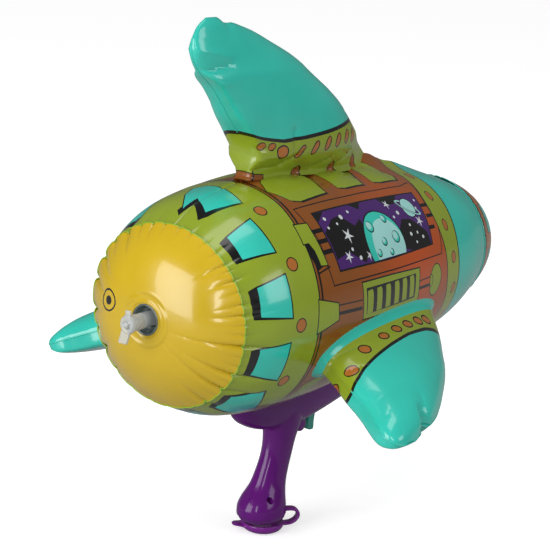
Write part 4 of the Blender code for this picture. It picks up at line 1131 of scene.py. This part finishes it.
def build_side_fins():
    split = SIDE_ROOT + 5.0
    tip = (FIN_LONG, SIDE_FIN_ROWS[-1][0])
    for side, name in SIDES:
        for level, level_name in ((1, "upper"), (-1, "lower")):
            powers = (SIDE_REAR_POWER[level], SIDE_REAR_POWER[level], SIDE_FOOT_POWER)
            surface = fin_surface(SIDE_FIN_ROWS, SIDE_ROOT, SIDE_FLARE, powers, side_dent,
                                  fin_place(SIDE_FIN_TURN, side, level))
            flip = side * level > 0
            obj = sheet(f"{name}_fin_{level_name}_film", surface, (0.0, split), tip,
                        fin_grid(split, tip[1]), side_fin_drawing(level < 0), "teal", flip=flip)
            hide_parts(f"{name}_fin_{level_name}")
            flange = sheet(f"{name}_fin_flange_{level_name}", surface, (0.0, SIDE_ROOT), (FIN_LONG, split),
                           fin_grid(SIDE_ROOT, split), Drawing(), "teal", flip=flip)
            if level > 0:
                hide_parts(f"{name}_fin_base")
        place = fin_place(SIDE_FIN_TURN, side, 1)
        fin_bead(f"{name}_fin_weld", free_edge(SIDE_FIN_ROWS), side_dent, place, "teal", 0.7)
        fin_bead(f"{name}_fin_foot_weld", foot_edge(SIDE_FIN_ROWS, SIDE_ROOT + 12.0), side_dent, place,
                 "lime", 0.7)


# ---------------------------------------------------------------- solid pieces
def apply_modifiers(obj):
    graph = bpy.context.evaluated_depsgraph_get()
    mesh = bpy.data.meshes.new_from_object(obj.evaluated_get(graph))
    obj.modifiers.clear()
    obj.data = mesh


def soften(obj, voxel, rounds):
    """Remakes a skin at an even grain and relaxes it, which softens its edges and joins."""
    remesh = obj.modifiers.new("join", "REMESH")
    remesh.mode = "VOXEL"
    remesh.voxel_size = voxel * MM
    relax = obj.modifiers.new("soften", "SMOOTH")
    relax.iterations = rounds
    apply_modifiers(obj)


def loft(rings, loop=False):
    """Closed skin through rings of equally many points, capped unless it's a loop."""
    rings = np.asarray(rings, float)
    count, size = rings.shape[:2]
    caps = [tuple(range(size))[::-1], tuple((count - 1) * size + i for i in range(size))]
    return rings.reshape(-1, 3), ([] if loop else caps) + skin(count, size, loop)


def merged(parts):
    points, faces, count = [], [], 0
    for part_points, part_faces in parts:
        points.append(part_points)
        faces.extend(tuple(i + count for i in face) for face in part_faces)
        count += len(part_points)
    return np.vstack(points), faces


def turned(profile, axis, centre, steps=64, loop=False):
    """Closed skin of a profile of (along, radius) points spun about an axis."""
    turn = np.arange(steps) * math.tau / steps
    order = {"X": (0, 1, 2), "Y": (2, 0, 1), "Z": (1, 2, 0)}[axis]
    rings = []
    for along, radius in profile:
        radius = max(radius, 0.02)
        flat = np.c_[np.full(steps, along), radius * np.cos(turn), radius * np.sin(turn)]
        rings.append(flat[:, order])
    points, faces = loft(rings, loop)
    return points + np.asarray(centre, float), faces


def bar(low, high):
    (x0, y0, z0), (x1, y1, z1) = low, high
    square = [(x0, y0), (x1, y0), (x1, y1), (x0, y1)]
    return loft([[(x, y, z) for x, y in square] for z in (z0, z1)])


def fused(name, parts, voxel, rounds, cutters=None):
    """Overlapping solids joined into one skin with softened joins, then cut."""
    obj = raw_object(name, *merged(parts))
    soften(obj, voxel, rounds)
    if cutters:
        cutter = raw_object(f"{name}_cutter", *merged(cutters))
        cut = obj.modifiers.new("cut", "BOOLEAN")
        cut.operation = "DIFFERENCE"
        cut.object = cutter
        cut.solver = "FAST"
        apply_modifiers(obj)
        bpy.data.objects.remove(cutter)
    obj.data.shade_smooth()
    return obj


def dress(obj, body, material, node):
    """Gives a solid its finish and body, and lets it stand in for a piece of the model."""
    obj.data.materials.clear()
    obj.data.materials.append(material)
    if body:
        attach(obj, body)
    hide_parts(node)


def body_rings():
    low, half = column(BODY_STATIONS, 1), column(BODY_STATIONS, 2)
    angles = np.linspace(0, math.pi, 41)
    flat = np.sign(np.cos(angles)) * np.abs(np.cos(angles)) ** BODY_SQUARE
    drop = np.sin(angles) ** BODY_SQUARE
    rings = []
    for x in np.linspace(BODY_STATIONS[0][0], BODY_STATIONS[-1][0], 90):
        waist = low(x) + BODY_ROUND
        arc = [(x, -half(x) * f, waist - BODY_ROUND * d) for f, d in zip(flat, drop)]
        rings.append([(x, half(x), BODY_TOP), (x, -half(x), BODY_TOP), *arc])
    return rings


def grip_rings():
    centre, long, wide = (column(GRIP_STATIONS, i) for i in (1, 2, 3))
    turn = np.linspace(0, math.tau, 72, endpoint=False)
    rings = []
    for z in np.linspace(GRIP_STATIONS[0][0], GRIP_STATIONS[-1][0], 150):
        rings.append(np.c_[centre(z) + long(z) * np.cos(turn), wide(z) * np.sin(turn), np.full(72, z)])
    return rings


def split_half(source, name, side):
    """One half of a skin, cut just short of the seam plane and open where it's hidden."""
    obj = in_scene(name, source.data.copy())
    bm = bmesh.new()
    bm.from_mesh(obj.data)
    plane = Vector(placed((0, -side * HALF_GAP, 0)))
    bmesh.ops.bisect_plane(bm, geom=bm.verts[:] + bm.edges[:] + bm.faces[:], plane_co=plane,
                           plane_no=(0, side, 0), clear_outer=True)
    hidden = []
    for face in bm.faces:
        x, y, z = (np.array(face.calc_center_median()) - ORIGIN) / MM
        in_hull = math.hypot(y, z) < float(hull_radius(x)) - HIDDEN_DEPTH
        in_slot = abs(y) < SLOT_HALF + 0.3 and SLOT_X[0] - 0.5 < x < SLOT_X[1] + 0.5 and z > SLOT_ROOF
        if in_hull or in_slot:
            hidden.append(face)
    bmesh.ops.delete(bm, geom=hidden, context="FACES")
    bm.to_mesh(obj.data)
    bm.free()
    obj.data.shade_smooth()
    obj.data.set_sharp_from_angle(angle=math.radians(50))
    return obj


def screw_places():
    """Screws as (x, z, side their head is on), in hull millimetres, read from the model."""
    places = []
    for i in range(1, 6):
        low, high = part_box(f"housing_screw_{i}")
        middle = (np.array(low + high) / 2 - ORIGIN) / MM
        places.append((middle[0], middle[2], np.sign(middle[1])))
    return places


def build_housing():
    """The pistol's two halves, with the trigger's slot and holes for screws, cap and nozzle."""
    flat, rim = CHEEK_HALF, CHEEK_HALF - CHEEK_ROUND
    cheeks = turned([(-flat, CHEEK_R - CHEEK_ROUND), (-rim, CHEEK_R), (rim, CHEEK_R),
                     (flat, CHEEK_R - CHEEK_ROUND)], "Y", (CHEEK_X, 0, CHEEK_Z), 32)
    cutters = []
    for x, z, side in screw_places():
        span = sorted((side * 30.0, side * SCREW_SEAT))
        cutters.append(turned([(y, SCREW_R) for y in span], "Y", (x, 0, z), 32))
    cutters.append(bar((SLOT_X[0], -SLOT_HALF, SLOT_Z[0]), (SLOT_X[1], SLOT_HALF, SLOT_Z[1])))
    cutters.append(turned([(z, NECK_BORE) for z in (-232.0, -215.0)], "Z", (NECK_X, 0, 0), 40))
    cutters.append(turned([(x, MUZZLE_BORE) for x in MUZZLE_X], "X", (0, 0, MUZZLE_Z), 32))
    whole = fused("pistol_skin", [loft(body_rings()), loft(grip_rings()), cheeks], 0.9, 10, cutters)
    for side, name in SIDES:
        half = split_half(whole, f"pistol_half_{name}", side)
        dress(half, ROCKET, PURPLE, f"housing_{name}")
    bpy.data.objects.remove(whole)


def build_trigger():
    """Trigger blade with softened edges, made from the model's own blade."""
    obj = in_scene("trigger_blade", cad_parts["trigger"].data.copy())
    soften(obj, 0.45, 8)
    obj.data.shade_smooth()
    dress(obj, "trigger", TRIGGER, "trigger")


def build_spring():
    """Return spring between the cylinder's back wall and the piston, kept as the model shapes and places
    it.
    """
    obj = in_scene("spring_wire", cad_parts["return_spring"].data.copy())
    low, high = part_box("return_spring")
    start, end = (low + high) / 2, (low + high) / 2
    start.x, end.x = low.x, high.x
    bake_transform(obj)
    dress(obj, None, STEEL, "return_spring")


def turned_with_cap(points):
    """Carries points built round the neck's axis to the cap's own heading."""
    c, s = math.cos(CAP_TURN), math.sin(CAP_TURN)
    x, y, z = np.asarray(points, float).T
    return np.c_[NECK_X + c * x - s * y, s * x + c * y, z]


def build_cap():
    """Soft filler cap: a shallow bowl with a plug and an upturned pull tab."""
    profile = (
        (CAP_BOTTOM, 0.0), (CAP_BOTTOM, 13.4), (CAP_BOTTOM + 0.5, 15.4), (CAP_BOTTOM + 1.8, 17.4),
        (CAP_BOTTOM + 4.0, CAP_R - 0.5), (CAP_BOTTOM + 6.0, CAP_R), (CAP_TOP - 0.4, CAP_R),
        (CAP_TOP, CAP_R - 0.6), (CAP_TOP - 0.3, CAP_R - 2.0), (CAP_TOP - 1.3, CAP_R - 3.2),
        (CAP_TOP - 1.3, 9.4), (CAP_TOP - 0.2, 7.4), (-215.4, 7.3), (-214.6, 6.4), (-214.6, 0.0),
    )
    turn = np.linspace(0, math.tau, 32, endpoint=False)
    rings = [np.c_[np.full(32, -out), wide * np.cos(turn), middle + thick * np.sin(turn)]
             for out, wide, middle, thick in CAP_TAB]
    tab_points, tab_faces = loft(rings)
    parts = [turned(profile, "Z", (NECK_X, 0, 0), 96), (turned_with_cap(tab_points), tab_faces)]
    obj = fused("cap_vinyl", parts, 0.5, 5)
    dress(obj, "filler_cap", SOFT_PURPLE, "filler_cap")


def build_strap():
    """Ribbon of soft vinyl from the cap's edge, round a loop and back into the grip."""
    share = np.linspace(0, len(STRAP_LOOP) - 1, 60)
    spots = [(i, *spot) for i, spot in enumerate(STRAP_LOOP)]
    path = np.c_[column(spots, 1)(share), column(spots, 2)(share)]
    along = unit(np.gradient(path, axis=0))
    side = np.c_[-along[:, 1], along[:, 0]]
    angle = np.linspace(0, math.tau, 32, endpoint=False)
    flat = np.sign(np.cos(angle)) * np.abs(np.cos(angle)) ** 0.4 * STRAP_WIDE / 2
    thick = np.sign(np.sin(angle)) * np.abs(np.sin(angle)) ** 0.6 * STRAP_THICK / 2
    rings = [np.c_[p[0] + out[0] * thick, flat, p[1] + out[1] * thick] for p, out in zip(path, side)]
    points, faces = loft(rings)
    obj = raw_object("strap_vinyl", turned_with_cap(points), faces)
    obj.data.shade_smooth()
    top, foot = turned_with_cap([(path[i][0], 0, path[i][1]) for i in (-12, 4)])
    Vector(placed(top))
    Vector(placed(foot))
    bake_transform(obj)
    dress(obj, None, SOFT_PURPLE, "cap_strap")


def build_valve():
    """Inflation valve: smoky cup, clear stem, plug with a nub and its tether tabs."""
    obj = raw_object("valve_cup", *turned(CUP_PROFILE, "X", (0, 0, 0), 72, loop=True))
    obj.data.shade_smooth()
    dress(obj, ROCKET, SMOKY, "valve_base")
    obj = raw_object("valve_stem_clear", *turned(STEM_PROFILE, "X", (0, 0, 0), 64, loop=True))
    obj.data.shade_smooth()
    obj.data.set_sharp_from_angle(angle=math.radians(40))
    dress(obj, "valve_stem", CLEAR, "valve_stem")
    back, face = TAB_X
    head = [(back, -TAB_HALF), (face, -TAB_HALF), (face, TAB_HALF), (back, TAB_HALF)]
    tether = loft([[(x, y + TAB_LEAN, TAB_DOWN) for x, y in head], [(x, y, 0.0) for x, y in head]])
    grip = bar((back, -GRIP_TAB_HALF, 0.0), (face, GRIP_TAB_HALF, GRIP_TAB_UP))
    plug = turned(PLUG_PROFILE, "X", (0, 0, 0), 48)
    obj = fused("valve_plug_clear", [plug, tether, grip], 0.35, 4)
    dress(obj, "valve_plug", CLEAR, "valve_plug")


def paint_model_nodes():
    """Finishes for the model's own pieces that stay as they are."""
    looks = {
        "valve_flap": CLEAR, "belly_tab_rear": INK["lime"], "belly_tab_front": INK["lime"],
        "trigger_pin": STEEL, "pump_cylinder": NATURAL, "pump_piston": NATURAL, "piston_seal": RUBBER,
        "inlet_ball": STEEL, "outlet_ball": STEEL, "intake_tube": CLEAR,
        "outlet_tube": CLEAR, "nozzle": PURPLE, "water_tank": NATURAL,
    }
    looks.update({f"housing_screw_{i}": STEEL for i in range(1, 6)})
    for name, material in looks.items():
        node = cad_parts[name]
        node.data.materials.clear()
        node.data.materials.append(material)


# ---------------------------------------------------------------- floor, light, camera
def floor_material():
    """White floor that the camera sees brighter than the object does."""
    material = bpy.data.materials.new("floor_white")
    material.use_nodes = True
    seen = added(material.node_tree, "LightPath").outputs["Is Camera Ray"]
    glow = ranged(material.node_tree, seen, 0.0, FLOOR_GLOW)
    shade = ranged(material.node_tree, seen, FLOOR_BOUNCE, FLOOR_SEEN)
    return dyed(material, ("Roughness", 0.9), ("Emission Color", (1.0, 1.0, 1.0, 1.0)),
                ("Emission Strength", glow), ("Base Color", shade))


def build_sky():
    """Even white light, dimmer in reflections and plain white to the camera."""
    world = bpy.data.worlds.new("studio")
    bpy.context.scene.world = world
    world.use_nodes = True
    tree = world.node_tree
    rays = added(tree, "LightPath").outputs
    mirrored = ranged(tree, rays["Is Glossy Ray"], SKY_LIGHT, SKY_MIRRORED)
    sky = tree.nodes["Background"].inputs
    feed(tree, sky["Strength"], ranged(tree, rays["Is Camera Ray"], mirrored, 1.0))
    feed(tree, sky["Color"], (1.0, 1.0, 1.0, 1.0))


def build_stage():
    reach = FLOOR_REACH
    mesh = bpy.data.meshes.new("floor")
    mesh.from_pydata([(-reach, -reach, 0), (reach, -reach, 0), (reach, reach, 0), (-reach, reach, 0)],
                     [], [(0, 1, 2, 3)])
    mesh.materials.append(floor_material())
    staged = [in_scene("floor", mesh)]
    staged[0].location.z = -FLOOR_DROP
    for name, place, size, power in LAMPS:
        light = bpy.data.lights.new(name, "AREA")
        light.shape = "RECTANGLE"
        light.size, light.size_y = size
        light.energy = power
        lamp = in_scene(name, light)
        lamp.location = place
        lamp.rotation_euler = (Vector(LAMPS_AIM) - Vector(place)).to_track_quat("-Z", "Y").to_euler()
        staged.append(lamp)
    build_sky()


def build_camera():
    heading, down, roll = (math.radians(a) for a in (CAMERA_HEADING, CAMERA_DOWN, CAMERA_ROLL))
    level = math.cos(down)
    ahead = Vector((math.cos(heading) * level, math.sin(heading) * level, -math.sin(down)))
    right = ahead.cross(Vector((0, 0, 1))).normalized()
    up = right.cross(ahead)
    c, s = math.cos(roll), math.sin(roll)
    right, up = c * right + s * up, c * up - s * right
    data = bpy.data.cameras.new("photo")
    data.lens = CAMERA_LENS
    data.sensor_width = CAMERA_SENSOR
    camera = in_scene("photo", data)
    turn = Matrix((right, up, -ahead)).transposed().to_4x4()
    camera.matrix_world = Matrix.Translation(CAMERA_AT) @ turn
    bpy.context.scene.camera = camera


build_hull()
build_domes()
build_welds()
build_top_fin()
build_side_fins()
build_housing()
build_trigger()
build_spring()
build_cap()
build_strap()
build_valve()
paint_model_nodes()
build_stage()
build_camera()
bpy.context.scene.view_settings.view_transform = "Standard"
